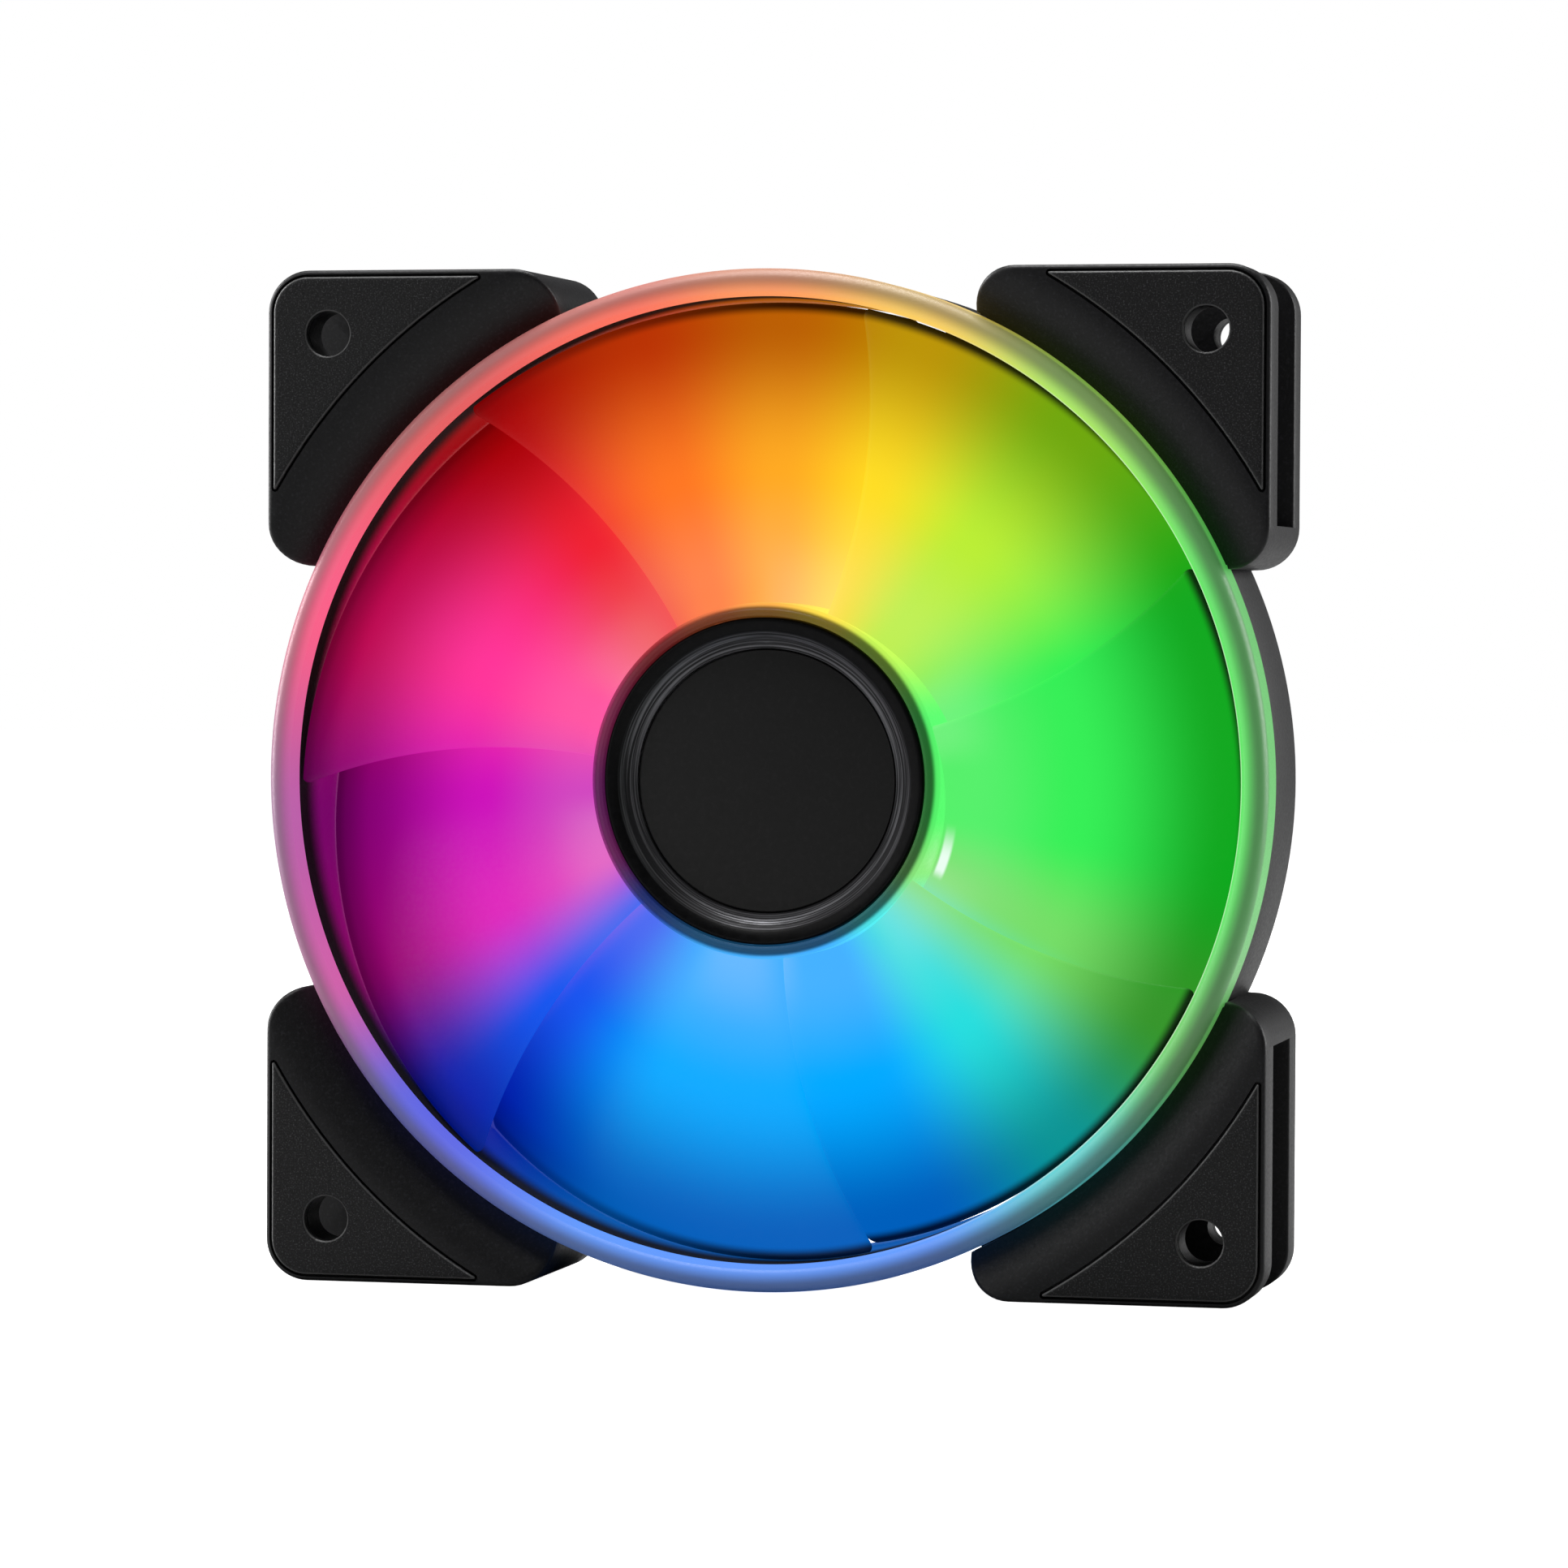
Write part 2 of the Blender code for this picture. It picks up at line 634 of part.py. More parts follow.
def make_impeller(material):
    """The hub's cup with its blades, moulded in one piece."""
    edge = arc(HUB_RADIUS - HUB_ROUND, HUB_FRONT - HUB_ROUND, HUB_ROUND, 60.0, 0.0, 4)
    front = [(HUB_RADIUS - HUB_ROUND * 0.7, HUB_FRONT - 0.05)]
    profile = front + edge[1:] + [
        (HUB_RADIUS, HUB_REAR),
        (HUB_INNER, HUB_REAR),
        (HUB_INNER, HUB_INSIDE),
        (BOSS_RADIUS + FIT, HUB_INSIDE),
        (BOSS_RADIUS + FIT, CAP_SEAT),
        (CAP_POCKET, CAP_SEAT),
        (CAP_POCKET, HUB_FRONT - 0.2),
    ]
    impeller = turned("impeller", profile, material, ROTOR_AXIS, HUB_STEPS)
    for index in range(BLADES):
        combine(impeller, make_blade(index, material), "UNION")
    return impeller


def make_hub_cap(material):
    """The dished black cap in the hub's front, with a pocket for the badge."""
    top = HUB_FRONT - 0.15
    bottom = CAP_SEAT + SEAT_GAP
    slope_end = CAP_RADIUS - CAP_SLOPE_WIDTH
    pocket = BADGE_RADIUS + FIT
    floor = bottom + CAP_FLOOR
    ledge = floor + FIT + BADGE_THICKNESS + 0.3
    fillet = []
    for index in range(1, 5):
        share = index / 4
        radius = slope_end + (pocket - slope_end) * share
        fillet.append((radius, ledge + (top - 0.5 - ledge) * (1.0 - math.sin(math.pi / 2 * share))))
    inner_side = [(0.0, floor), (pocket, floor)] + fillet[::-1] + [(slope_end, top - 0.5)]
    profile = [(CAP_RADIUS - 0.4, top), (CAP_RADIUS, top - 0.4), (CAP_RADIUS, bottom), (0.0, bottom)]
    return turned("hub_cap", profile + inner_side, material, ROTOR_AXIS, HUB_STEPS)


def make_badge(material):
    """The blank disc in the middle of the cap."""
    bottom = CAP_SEAT + SEAT_GAP + CAP_FLOOR + FIT
    profile = [(BADGE_RADIUS, bottom + BADGE_THICKNESS), (BADGE_RADIUS, bottom), (0.0, bottom)]
    profile.append((0.0, bottom + BADGE_THICKNESS))
    return turned("hub_badge", profile, material, ROTOR_AXIS, HUB_STEPS)


def make_rotor_motor(steel, ferrite, brass, nylon):
    """What turns inside the hub: yoke, magnet, boss, shaft, and the clip and washer on the shaft."""
    hole = BOSS_RADIUS + FIT
    inside = YOKE_RADIUS - YOKE_WALL
    yoke = [
        (YOKE_RADIUS, YOKE_FRONT),
        (YOKE_RADIUS, YOKE_REAR),
        (inside, YOKE_REAR),
        (inside, YOKE_INSIDE),
        (hole, YOKE_INSIDE),
        (hole, YOKE_FRONT),
    ]
    turned("rotor_yoke", yoke, steel, ROTOR_AXIS, HUB_STEPS)
    magnet = ring_profile(MAGNET_INNER, MAGNET_RADIUS, YOKE_REAR + FIT, YOKE_INSIDE - FIT)
    turned("rotor_magnet", magnet, ferrite, ROTOR_AXIS, HUB_STEPS)
    boss = ring_profile(BOSS_BORE, BOSS_RADIUS, BOSS_REAR, BOSS_FRONT)
    turned("shaft_boss", boss, brass, ROTOR_AXIS, SMALL_STEPS)
    neck = SHAFT_RADIUS - GROOVE_DEPTH
    tip = SHAFT_RADIUS * 0.4
    shaft = [
        (0.0, BOSS_FRONT),
        (SHAFT_RADIUS, BOSS_FRONT),
        (SHAFT_RADIUS, GROOVE_REAR + GROOVE_WIDTH),
        (neck, GROOVE_REAR + GROOVE_WIDTH),
        (neck, GROOVE_REAR),
        (SHAFT_RADIUS, GROOVE_REAR),
        (SHAFT_RADIUS, SHAFT_REAR + FIT),
        (tip, SHAFT_REAR),
        (0.0, SHAFT_REAR),
    ]
    turned("shaft", shaft, steel, ROTOR_AXIS, SMALL_STEPS)
    slinger = ring_profile(
        SLEEVE_BORE, SLEEVE_BORE + SLINGER_WALL, SLINGER_FRONT - SLINGER_THICKNESS, SLINGER_FRONT
    )
    turned("oil_slinger", slinger, nylon, ROTOR_AXIS, SMALL_STEPS)
    inner = neck + RUN
    outer = SLEEVE_RADIUS - FIT
    half_slit = math.degrees(math.asin(CLIP_SLIT / 2 / inner))
    outline = arc(0.0, 0.0, outer, half_slit / 2, 360.0 - half_slit / 2, SMALL_STEPS)
    outline += arc(0.0, 0.0, inner, 360.0 - half_slit, half_slit, SMALL_STEPS)
    middle = GROOVE_REAR + GROOVE_WIDTH / 2
    prism(
        "retaining_clip",
        [outline],
        middle - CLIP_THICKNESS / 2,
        middle + CLIP_THICKNESS / 2,
        nylon,
        ROTOR_AXIS,
    )


# Stator


def core_outline():
    """The laminations seen from the front: a hub with T-shaped poles."""
    half_leg = math.degrees(math.asin(POLE_LEG_WIDTH / 2 / CORE_HUB_RADIUS))
    tip_inner = CORE_RADIUS - POLE_TIP
    leg_at_tip = math.degrees(math.asin(POLE_LEG_WIDTH / 2 / tip_inner))
    outline = []
    for pole in range(POLES):
        middle = pole * 360.0 / POLES
        outline += arc(0.0, 0.0, tip_inner, middle - POLE_TIP_ANGLE / 2, middle - leg_at_tip, 3)[::-1][:1]
        outline += arc(0.0, 0.0, tip_inner, middle - leg_at_tip, middle - POLE_TIP_ANGLE / 2, 3)[1:]
        outline += arc(0.0, 0.0, CORE_RADIUS, middle - POLE_TIP_ANGLE / 2, middle + POLE_TIP_ANGLE / 2, 8)
        outline += arc(0.0, 0.0, tip_inner, middle + POLE_TIP_ANGLE / 2, middle + leg_at_tip, 3)
        next_leg = middle + 360.0 / POLES - half_leg
        outline += arc(0.0, 0.0, CORE_HUB_RADIUS, middle + half_leg, next_leg, 4)
    return outline


def bobbin_outline():
    """An insulating plate over one end of the laminations: a cross that covers the hub and the legs."""
    half = POLE_LEG_WIDTH / 2 + FIT
    reach = CORE_RADIUS - POLE_TIP - FIT
    half_angle = math.degrees(math.asin(half / CORE_HUB_RADIUS))
    outline = []
    for pole in range(POLES):
        middle = pole * 360.0 / POLES
        cosine, sine = math.cos(math.radians(middle)), math.sin(math.radians(middle))
        for across in (-half, half):
            outline.append((reach * cosine - across * sine, reach * sine + across * cosine))
        next_leg = middle + 360.0 / POLES - half_angle
        outline += arc(0.0, 0.0, CORE_HUB_RADIUS, middle + half_angle, next_leg, 4)
    return outline


def coil_profile(half_width, half_height, corner):
    """A rectangle with rounded corners, as a closed outline."""
    outline = []
    for quarter, (right, up) in enumerate(((1, 1), (-1, 1), (-1, -1), (1, -1))):
        x, y = right * (half_width - corner), up * (half_height - corner)
        outline += arc(x, y, corner, quarter * 90.0, quarter * 90.0 + 90.0, 3)
    return outline


def make_stator(steel, nylon, copper):
    """The laminations, their two insulating plates and the four coils."""
    hole = arc(0.0, 0.0, SOCKET_BORE, 0.0, 360.0, SMALL_STEPS)[:-1]
    prism("stator_core", [core_outline(), hole], CORE_REAR, CORE_FRONT, steel, FAN_AXIS)
    for name, bottom in (("bobbin_rear", CORE_REAR - FIT - BOBBIN_PLATE), ("bobbin_front", CORE_FRONT + FIT)):
        prism(name, [bobbin_outline(), hole], bottom, bottom + BOBBIN_PLATE, nylon, FAN_AXIS)
    middle = (CORE_REAR + CORE_FRONT) / 2
    inner_width = POLE_LEG_WIDTH / 2 + 2 * FIT
    inner_height = (CORE_FRONT - CORE_REAR) / 2 + BOBBIN_PLATE + 2 * FIT
    inner = coil_profile(inner_width, inner_height, COIL_CORNER / 4)
    outer = coil_profile(inner_width + COIL_WALL, inner_height + COIL_WALL, COIL_CORNER)
    start = CORE_HUB_RADIUS + FIT
    end = math.sqrt((CORE_RADIUS - POLE_TIP) ** 2 - (inner_width + COIL_WALL) ** 2) - FIT
    for pole in range(POLES):
        turn = pole * 360.0 / POLES
        coil = prism(f"coil_{pole + 1}", [outer, inner], -(end - start) / 2, (end - start) / 2, copper, FAN_AXIS)
        out = math.radians(turn)
        distance = (start + end) / 2 * MM
        coil.location = (distance * math.cos(out), distance * math.sin(out), middle * MM)
        coil.rotation_euler = (math.radians(90.0), 0.0, math.radians(turn + 90.0))


def make_bearing(brass, bronze, nylon, steel):
    """The bearing tube in the base's socket and what it holds."""
    tube = ring_profile(TUBE_BORE, TUBE_RADIUS, TUBE_REAR, TUBE_FRONT)
    turned("bearing_tube", tube, brass, FAN_AXIS, SMALL_STEPS)
    sleeve = ring_profile(SLEEVE_BORE, SLEEVE_RADIUS, SLEEVE_REAR, SLEEVE_FRONT)
    turned("sleeve_bearing", sleeve, bronze, FAN_AXIS, SMALL_STEPS)
    thrust = ring_profile(0.0, THRUST_PAD_RADIUS, THRUST_REAR, THRUST_REAR + THRUST_PAD_THICKNESS)
    turned("thrust_pad", thrust, nylon, FAN_AXIS, SMALL_STEPS)
    plug = ring_profile(0.0, TUBE_BORE - RUN, PLUG_REAR, PLUG_REAR + PLUG_THICKNESS)
    turned("bearing_plug", plug, steel, FAN_AXIS, SMALL_STEPS)


def make_board(board, led, chip, ceramic):
    """The circuit board round the bearing's socket, with its lamps and chips."""
    disc = ring_profile(BOARD_HOLE, BOARD_RADIUS, BOARD_BOTTOM, BOARD_TOP)
    turned("motor_board", disc, board, FAN_AXIS, HUB_STEPS)
    parts = [
        (f"hub_led_{index + 1}", LED_SIZE, LED_PLACE, LED_FIRST_ANGLE + index * 360.0 / LEDS, led)
        for index in range(LEDS)
    ]
    parts += [
        ("driver_chip", DRIVER_SIZE, CHIP_RING, 45.0, chip),
        ("hall_sensor", SENSOR_SIZE, CHIP_RING, 135.0, chip),
        ("capacitor_1", CAPACITOR_SIZE, CHIP_RING, 225.0, ceramic),
        ("capacitor_2", CAPACITOR_SIZE, CHIP_RING, 315.0, ceramic),
    ]
    for name, size, distance, clockwise, material in parts:
        block(name, size, (0.0, distance, CHIP_BOTTOM + size[2] / 2), material, FAN_AXIS, turn=-clockwise)


def make_label(paper):
    """The blank label over the bearing, in its recess at the rear."""
    top = LABEL_SEAT - FIT
    label = ring_profile(0.0, LABEL_RADIUS, top - LABEL_THICKNESS, top)
    turned("rear_label", label, paper, FAN_AXIS, HUB_STEPS)


clear_scene()
FAN = new_collection("case_fan")
TOOLS = new_collection("cutters")
FAN_AXIS = new_axis("fan_axis")
FAN_AXIS.rotation_euler.x = math.radians(90.0)
ROTOR_AXIS = new_axis("rotor_axis", FAN_AXIS)

black_plastic = plastic("black_plastic", (0.012, 0.012, 0.013), 0.5)
black_rubber = plastic("black_rubber", (0.015, 0.015, 0.016), 0.75)
frosted_clear = plastic("frosted_clear", (0.75, 0.78, 0.8), 0.35)
milky_plastic = plastic("milky_plastic", (0.8, 0.82, 0.85), 0.4)
gloss_black = plastic("gloss_black", (0.01, 0.01, 0.01), 0.2)
steel_grey = plastic("steel_grey", (0.45, 0.46, 0.48), 0.35, 1.0)
dark_ferrite = plastic("dark_ferrite", (0.06, 0.06, 0.065), 0.6, 0.2)
yellow_brass = plastic("yellow_brass", (0.72, 0.55, 0.28), 0.35, 1.0)
oiled_bronze = plastic("oiled_bronze", (0.45, 0.3, 0.16), 0.5, 1.0)
white_nylon = plastic("white_nylon", (0.7, 0.7, 0.66), 0.5)
enamelled_copper = plastic("enamelled_copper", (0.6, 0.27, 0.1), 0.35, 0.9)
board_green = plastic("board_green", (0.02, 0.12, 0.05), 0.5)
led_white = plastic("led_white", (0.85, 0.85, 0.8), 0.3)
chip_black = plastic("chip_black", (0.02, 0.02, 0.02), 0.55)
chip_ceramic = plastic("chip_ceramic", (0.42, 0.32, 0.22), 0.5)
label_grey = plastic("label_grey", (0.5, 0.5, 0.52), 0.4)

make_frame(black_plastic)
make_light_ring(frosted_clear)
make_pads(black_rubber)
make_impeller(milky_plastic)
make_hub_cap(gloss_black)
make_badge(black_plastic)
make_rotor_motor(steel_grey, dark_ferrite, yellow_brass, white_nylon)
make_stator(steel_grey, white_nylon, enamelled_copper)
make_bearing(yellow_brass, oiled_bronze, white_nylon, steel_grey)
make_board(board_green, led_white, chip_black, chip_ceramic)
make_label(label_grey)
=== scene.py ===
import math

import bmesh
import bpy
import numpy as np
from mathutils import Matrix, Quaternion, Vector


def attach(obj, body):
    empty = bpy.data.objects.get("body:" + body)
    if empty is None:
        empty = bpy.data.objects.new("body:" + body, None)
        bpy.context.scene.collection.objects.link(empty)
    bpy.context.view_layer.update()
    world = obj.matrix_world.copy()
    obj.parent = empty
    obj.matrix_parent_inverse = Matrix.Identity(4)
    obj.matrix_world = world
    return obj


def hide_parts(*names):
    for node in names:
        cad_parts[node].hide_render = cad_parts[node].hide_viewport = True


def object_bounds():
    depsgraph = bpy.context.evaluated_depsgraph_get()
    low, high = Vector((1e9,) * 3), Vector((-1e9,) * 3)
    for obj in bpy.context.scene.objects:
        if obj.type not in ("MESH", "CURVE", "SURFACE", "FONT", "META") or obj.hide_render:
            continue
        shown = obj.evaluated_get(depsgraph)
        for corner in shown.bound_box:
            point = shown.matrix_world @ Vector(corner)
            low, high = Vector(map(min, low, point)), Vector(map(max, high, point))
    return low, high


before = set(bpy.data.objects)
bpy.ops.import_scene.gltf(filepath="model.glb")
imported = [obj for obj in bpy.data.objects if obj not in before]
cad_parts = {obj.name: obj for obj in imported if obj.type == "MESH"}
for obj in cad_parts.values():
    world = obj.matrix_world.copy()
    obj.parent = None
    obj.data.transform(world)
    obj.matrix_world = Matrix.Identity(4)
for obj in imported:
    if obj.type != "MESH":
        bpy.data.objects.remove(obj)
cad_low, cad_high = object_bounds()


# Camera
# A long lens looks at the intake side from a little to the right and slightly above the middle.
CAMERA_TURN = math.radians(13.0)
CAMERA_RISE = math.radians(1.65)
CAMERA_ROLL = math.radians(0.28)
CAMERA_DISTANCE = 0.7193
CAMERA_TARGET = Vector((0.00033, 0.0, -0.00058))

lens = bpy.data.cameras.new("camera")
lens.lens = 139.2
lens.sensor_width = 36.0
lens.clip_start = 0.01
lens.clip_end = 20.0
camera = bpy.data.objects.new("camera", lens)
towards_camera = Vector(
    (
        math.sin(CAMERA_TURN) * math.cos(CAMERA_RISE),
        -math.cos(CAMERA_TURN) * math.cos(CAMERA_RISE),
        math.sin(CAMERA_RISE),
    )
)
camera.location = CAMERA_TARGET + CAMERA_DISTANCE * towards_camera
camera.rotation_mode = "QUATERNION"
camera.rotation_quaternion = (-towards_camera).to_track_quat("-Z", "Y") @ Quaternion((0, 0, 1), CAMERA_ROLL)
bpy.context.scene.collection.objects.link(camera)
bpy.context.scene.camera = camera
bpy.context.scene.view_settings.view_transform = "Standard"


# Studio
# A white floor and a white surround. Soft panels at both sides, above and behind graze the fan's black edges,
# and its front is left dark.
FLOOR_WHITE = (0.4, 0.4, 0.4, 1.0)
SURROUND_LIGHT = 0.08


def floor_material():
    """White card that looks evenly white to the camera and throws only a little light back onto the fan."""
    material = bpy.data.materials.new("white_card")
    material.use_nodes = True
    nodes, links = material.node_tree.nodes, material.node_tree.links
    shader = nodes["Principled BSDF"]
    shader.inputs["Base Color"].default_value = FLOOR_WHITE
    shader.inputs["Roughness"].default_value = 0.9
    shader.inputs["Specular IOR Level"].default_value = 0.0
    shader.inputs["Emission Strength"].default_value = 1.0
    seen = nodes.new("ShaderNodeLightPath")
    links.new(seen.outputs["Is Camera Ray"], shader.inputs["Emission Color"])
    return material


def soft_panel(name, place, width, height, brightness):
    """A softbox that faces the fan's middle. Its power is brightness times pi times its area."""
    panel = bpy.data.lights.new(name, "AREA")
    panel.shape = "RECTANGLE"
    panel.size, panel.size_y = width, height
    panel.energy = brightness * math.pi * width * height
    holder = bpy.data.objects.new(name, panel)
    holder.location = place
    holder.rotation_mode = "QUATERNION"
    holder.rotation_quaternion = (-Vector(place)).to_track_quat("-Z", "Y")
    bpy.context.scene.collection.objects.link(holder)


def white_surround():
    """A surround that looks white and lights the fan gently."""
    world = bpy.data.worlds.new("white_surround")
    world.use_nodes = True
    nodes, links = world.node_tree.nodes, world.node_tree.links
    seen = nodes.new("ShaderNodeLightPath")
    strength = nodes.new("ShaderNodeMapRange")
    strength.inputs["To Min"].default_value = SURROUND_LIGHT
    strength.inputs["To Max"].default_value = 1.0
    links.new(seen.outputs["Is Camera Ray"], strength.inputs["Value"])
    nodes["Background"].inputs["Color"].default_value = (1.0, 1.0, 1.0, 1.0)
    links.new(strength.outputs["Result"], nodes["Background"].inputs["Strength"])
    bpy.context.scene.world = world


floor_mesh = bpy.data.meshes.new("floor")
floor_mesh.from_pydata(
    [(x, y, cad_low[2]) for x, y in ((-3.0, -3.0), (3.0, -3.0), (3.0, 3.0), (-3.0, 3.0))], [], [(0, 1, 2, 3)]
)
floor_mesh.materials.append(floor_material())
floor = bpy.data.objects.new("floor", floor_mesh)
bpy.context.scene.collection.objects.link(floor)
white_surround()
soft_panel("panel_above", (-0.05, 0.02, 0.8), 0.8, 0.4, 10.0)
soft_panel("panel_right", (0.75, 0.45, 0.15), 0.6, 0.6, 5.2)
soft_panel("panel_left", (-0.75, -0.7, 0.38), 0.35, 0.85, 2.4)
soft_panel("panel_left_edge", (-0.9, 0.1, 0.3), 0.4, 0.8, 13.0)


# Barrel
# The frame is one moulding in black plastic. Its middle is a short tube that the rotor turns in, stepped down
# round its front edge to take the light ring, and flared at the outlet.
MM = 0.001
BARREL_OUTER = 59.75
BORE = 56.7
FRAME_FRONT, FRAME_REAR = -12.2, 12.2
RING_SEAT, STEP_FLOOR = -9.4, -4.7
STEP_RADIUS = 58.75
OUTLET_FLARE = 1.2
TURN_STEPS = 256
CHANNEL_WIDTH, CHANNEL_DEPTH = 2.8, 2.0
STRUT_ANGLE, STRUT_OFFSET = math.radians(41.0), 19.0


def srgb(code):
    """The linear colour of a hex code."""
    value = np.array([int(code[index : index + 2], 16) for index in (0, 2, 4)]) / 255
    linear = np.where(value <= 0.04045, value / 12.92, ((value + 0.055) / 1.055) ** 2.4)
    return (*(float(part) for part in linear), 1.0)


def filleted(corners, steps=4):
    """A closed outline of (x, y, radius) corners, each replaced by an arc that touches both of its sides."""
    outline = []
    for before, corner, after in zip(corners[-1:] + corners[:-1], corners, corners[1:] + corners[:1]):
        here, radius = np.array(corner[:2]), corner[2]
        if radius == 0:
            outline.append(here)
            continue
        back, ahead = np.array(before[:2]) - here, np.array(after[:2]) - here
        back, ahead = back / np.linalg.norm(back), ahead / np.linalg.norm(ahead)
        half = math.acos(np.clip(back @ ahead, -1, 1)) / 2
        bisector = (back + ahead) / np.linalg.norm(back + ahead)
        centre = here + bisector * radius / math.sin(half)
        start = here + back * radius / math.tan(half) - centre
        end = here + ahead * radius / math.tan(half) - centre
        sweep = math.pi - 2 * half
        share = np.linspace(0, 1, steps + 1)[:, None]
        along = np.sin((1 - share) * sweep) * start + np.sin(share * sweep) * end
        outline.extend(centre + along / math.sin(sweep))
    return np.array(outline)


def grid_faces(rows, columns, close_rows, close_columns):
    """Quads between neighbouring points of a grid that is stored row by row."""
    row = np.arange(rows if close_rows else rows - 1)[:, None]
    column = np.arange(columns if close_columns else columns - 1)[None, :]
    next_row, next_column = (row + 1) % rows, (column + 1) % columns
    corners = (
        row * columns + column,
        next_row * columns + column,
        next_row * columns + next_column,
        row * columns + next_column,
    )
    return np.stack(corners, -1).reshape(-1, 4)


def solid(name, points, faces, sharp=35.0, caps=()):
    """A closed mesh object in millimetres: doubled points are merged, and its faces are turned outwards."""
    mesh = bpy.data.meshes.new(name)
    rings = [list(map(int, cap)) for cap in caps]
    mesh.from_pydata((np.asarray(points).reshape(-1, 3) * MM).tolist(), [], faces.tolist() + rings)
    shape = bmesh.new()
    shape.from_mesh(mesh)
    bmesh.ops.remove_doubles(shape, verts=shape.verts, dist=1e-7)
    bmesh.ops.recalc_face_normals(shape, faces=shape.faces)
    shape.to_mesh(mesh)
    shape.free()
    mesh.shade_smooth()
    mesh.set_sharp_from_angle(angle=math.radians(sharp))
    piece = bpy.data.objects.new(name, mesh)
    bpy.context.scene.collection.objects.link(piece)
    return piece


def turned(name, profile, steps=TURN_STEPS, sharp=35.0):
    """A (radius, depth) profile carried round the axis, clockwise from the top as seen from the front."""
    turn = np.linspace(0, 2 * np.pi, steps, endpoint=False)
    radius, depth = np.asarray(profile, float).T
    level = np.broadcast_to(depth, (steps, len(depth)))
    points = np.stack((np.outer(np.sin(turn), radius), level, np.outer(np.cos(turn), radius)), -1)
    return solid(name, points, grid_faces(steps, len(radius), True, True), sharp)


def cut_away(piece, cutter):
    """Cuts the cutter's shape out of the piece and throws the cutter away."""
    change = piece.modifiers.new("cut", "BOOLEAN")
    change.operation = "DIFFERENCE"
    change.solver = "EXACT"
    change.object = cutter
    bpy.context.view_layer.update()
    result = bpy.data.meshes.new_from_object(piece.evaluated_get(bpy.context.evaluated_depsgraph_get()))
    piece.modifiers.clear()
    piece.data = result
    bpy.data.objects.remove(cutter)
    result.shade_smooth()
    result.set_sharp_from_angle(angle=math.radians(35.0))


def along_strut(points, quarter=0):
    """Lays (across, depth, outwards) points beside the axis and turns them to one of the four struts."""
    across, depth, out = np.asarray(points, float).T
    turn = STRUT_ANGLE + quarter * np.pi / 2
    x = (across - STRUT_OFFSET) * math.cos(turn) + out * math.sin(turn)
    z = -(across - STRUT_OFFSET) * math.sin(turn) + out * math.cos(turn)
    return np.stack((x, depth, z), -1)


def swept(name, section, start, end, place, **kind):
    """A closed (across, depth) section drawn straight from one distance to another and then put in place."""
    count = len(section)
    ends = [np.column_stack((section, np.full(count, distance))) for distance in (start, end)]
    points = place(np.concatenate(ends))
    caps = (range(count), range(2 * count - 1, count - 1, -1))
    return solid(name, points, grid_faces(2, count, False, True), caps=caps, **kind)


def box_section(low_across, high_across, low_depth, high_depth, radius=0.0, steps=4):
    """A rectangular (across, depth) section with its corners rounded."""
    low, high = (low_across, low_depth), (high_across, high_depth)
    corners = [low, (high_across, low_depth), high, (low_across, high_depth)]
    return filleted([(*corner, radius) for corner in corners], steps)


def cable_channel(name):
    """The straight channel for the wires, from the motor base through the first strut and the barrel."""
    section = box_section(-CHANNEL_WIDTH / 2, CHANNEL_WIDTH / 2, FRAME_REAR - CHANNEL_DEPTH, FRAME_REAR + 1)
    return swept(name, section, 8.8, 70.0, along_strut)


def mould_grain_group():
    """Fine grain of a moulded surface: Height is a cloudy roughness, Speckle marks scattered bright grains."""
    group = bpy.data.node_groups.new("mould_grain", "ShaderNodeTree")
    for name in ("Grain Scale", "Speckle Scale"):
        group.interface.new_socket(name, in_out="INPUT", socket_type="NodeSocketFloat")
    for name in ("Height", "Speckle"):
        group.interface.new_socket(name, in_out="OUTPUT", socket_type="NodeSocketFloat")
    nodes, links = group.nodes, group.links
    given, made = nodes.new("NodeGroupInput"), nodes.new("NodeGroupOutput")
    where = nodes.new("ShaderNodeTexCoord")
    grain = nodes.new("ShaderNodeTexNoise")
    grain.inputs["Detail"].default_value = 3.0
    links.new(where.outputs["Object"], grain.inputs["Vector"])
    links.new(given.outputs["Grain Scale"], grain.inputs["Scale"])
    links.new(grain.outputs["Fac"], made.inputs["Height"])
    spots = nodes.new("ShaderNodeTexNoise")
    spots.inputs["Detail"].default_value = 1.0
    links.new(where.outputs["Object"], spots.inputs["Vector"])
    links.new(given.outputs["Speckle Scale"], spots.inputs["Scale"])
    rare = nodes.new("ShaderNodeMapRange")
    rare.inputs["From Min"].default_value = 0.54
    rare.inputs["From Max"].default_value = 0.74
    links.new(spots.outputs["Fac"], rare.inputs["Value"])
    links.new(rare.outputs["Result"], made.inputs["Speckle"])
    return group


MOULD_GRAIN = mould_grain_group()


def placed(nodes, group):
    """A node group set among the nodes of a material or of another group."""
    node = nodes.new("ShaderNodeGroup")
    node.node_tree = group
    return node


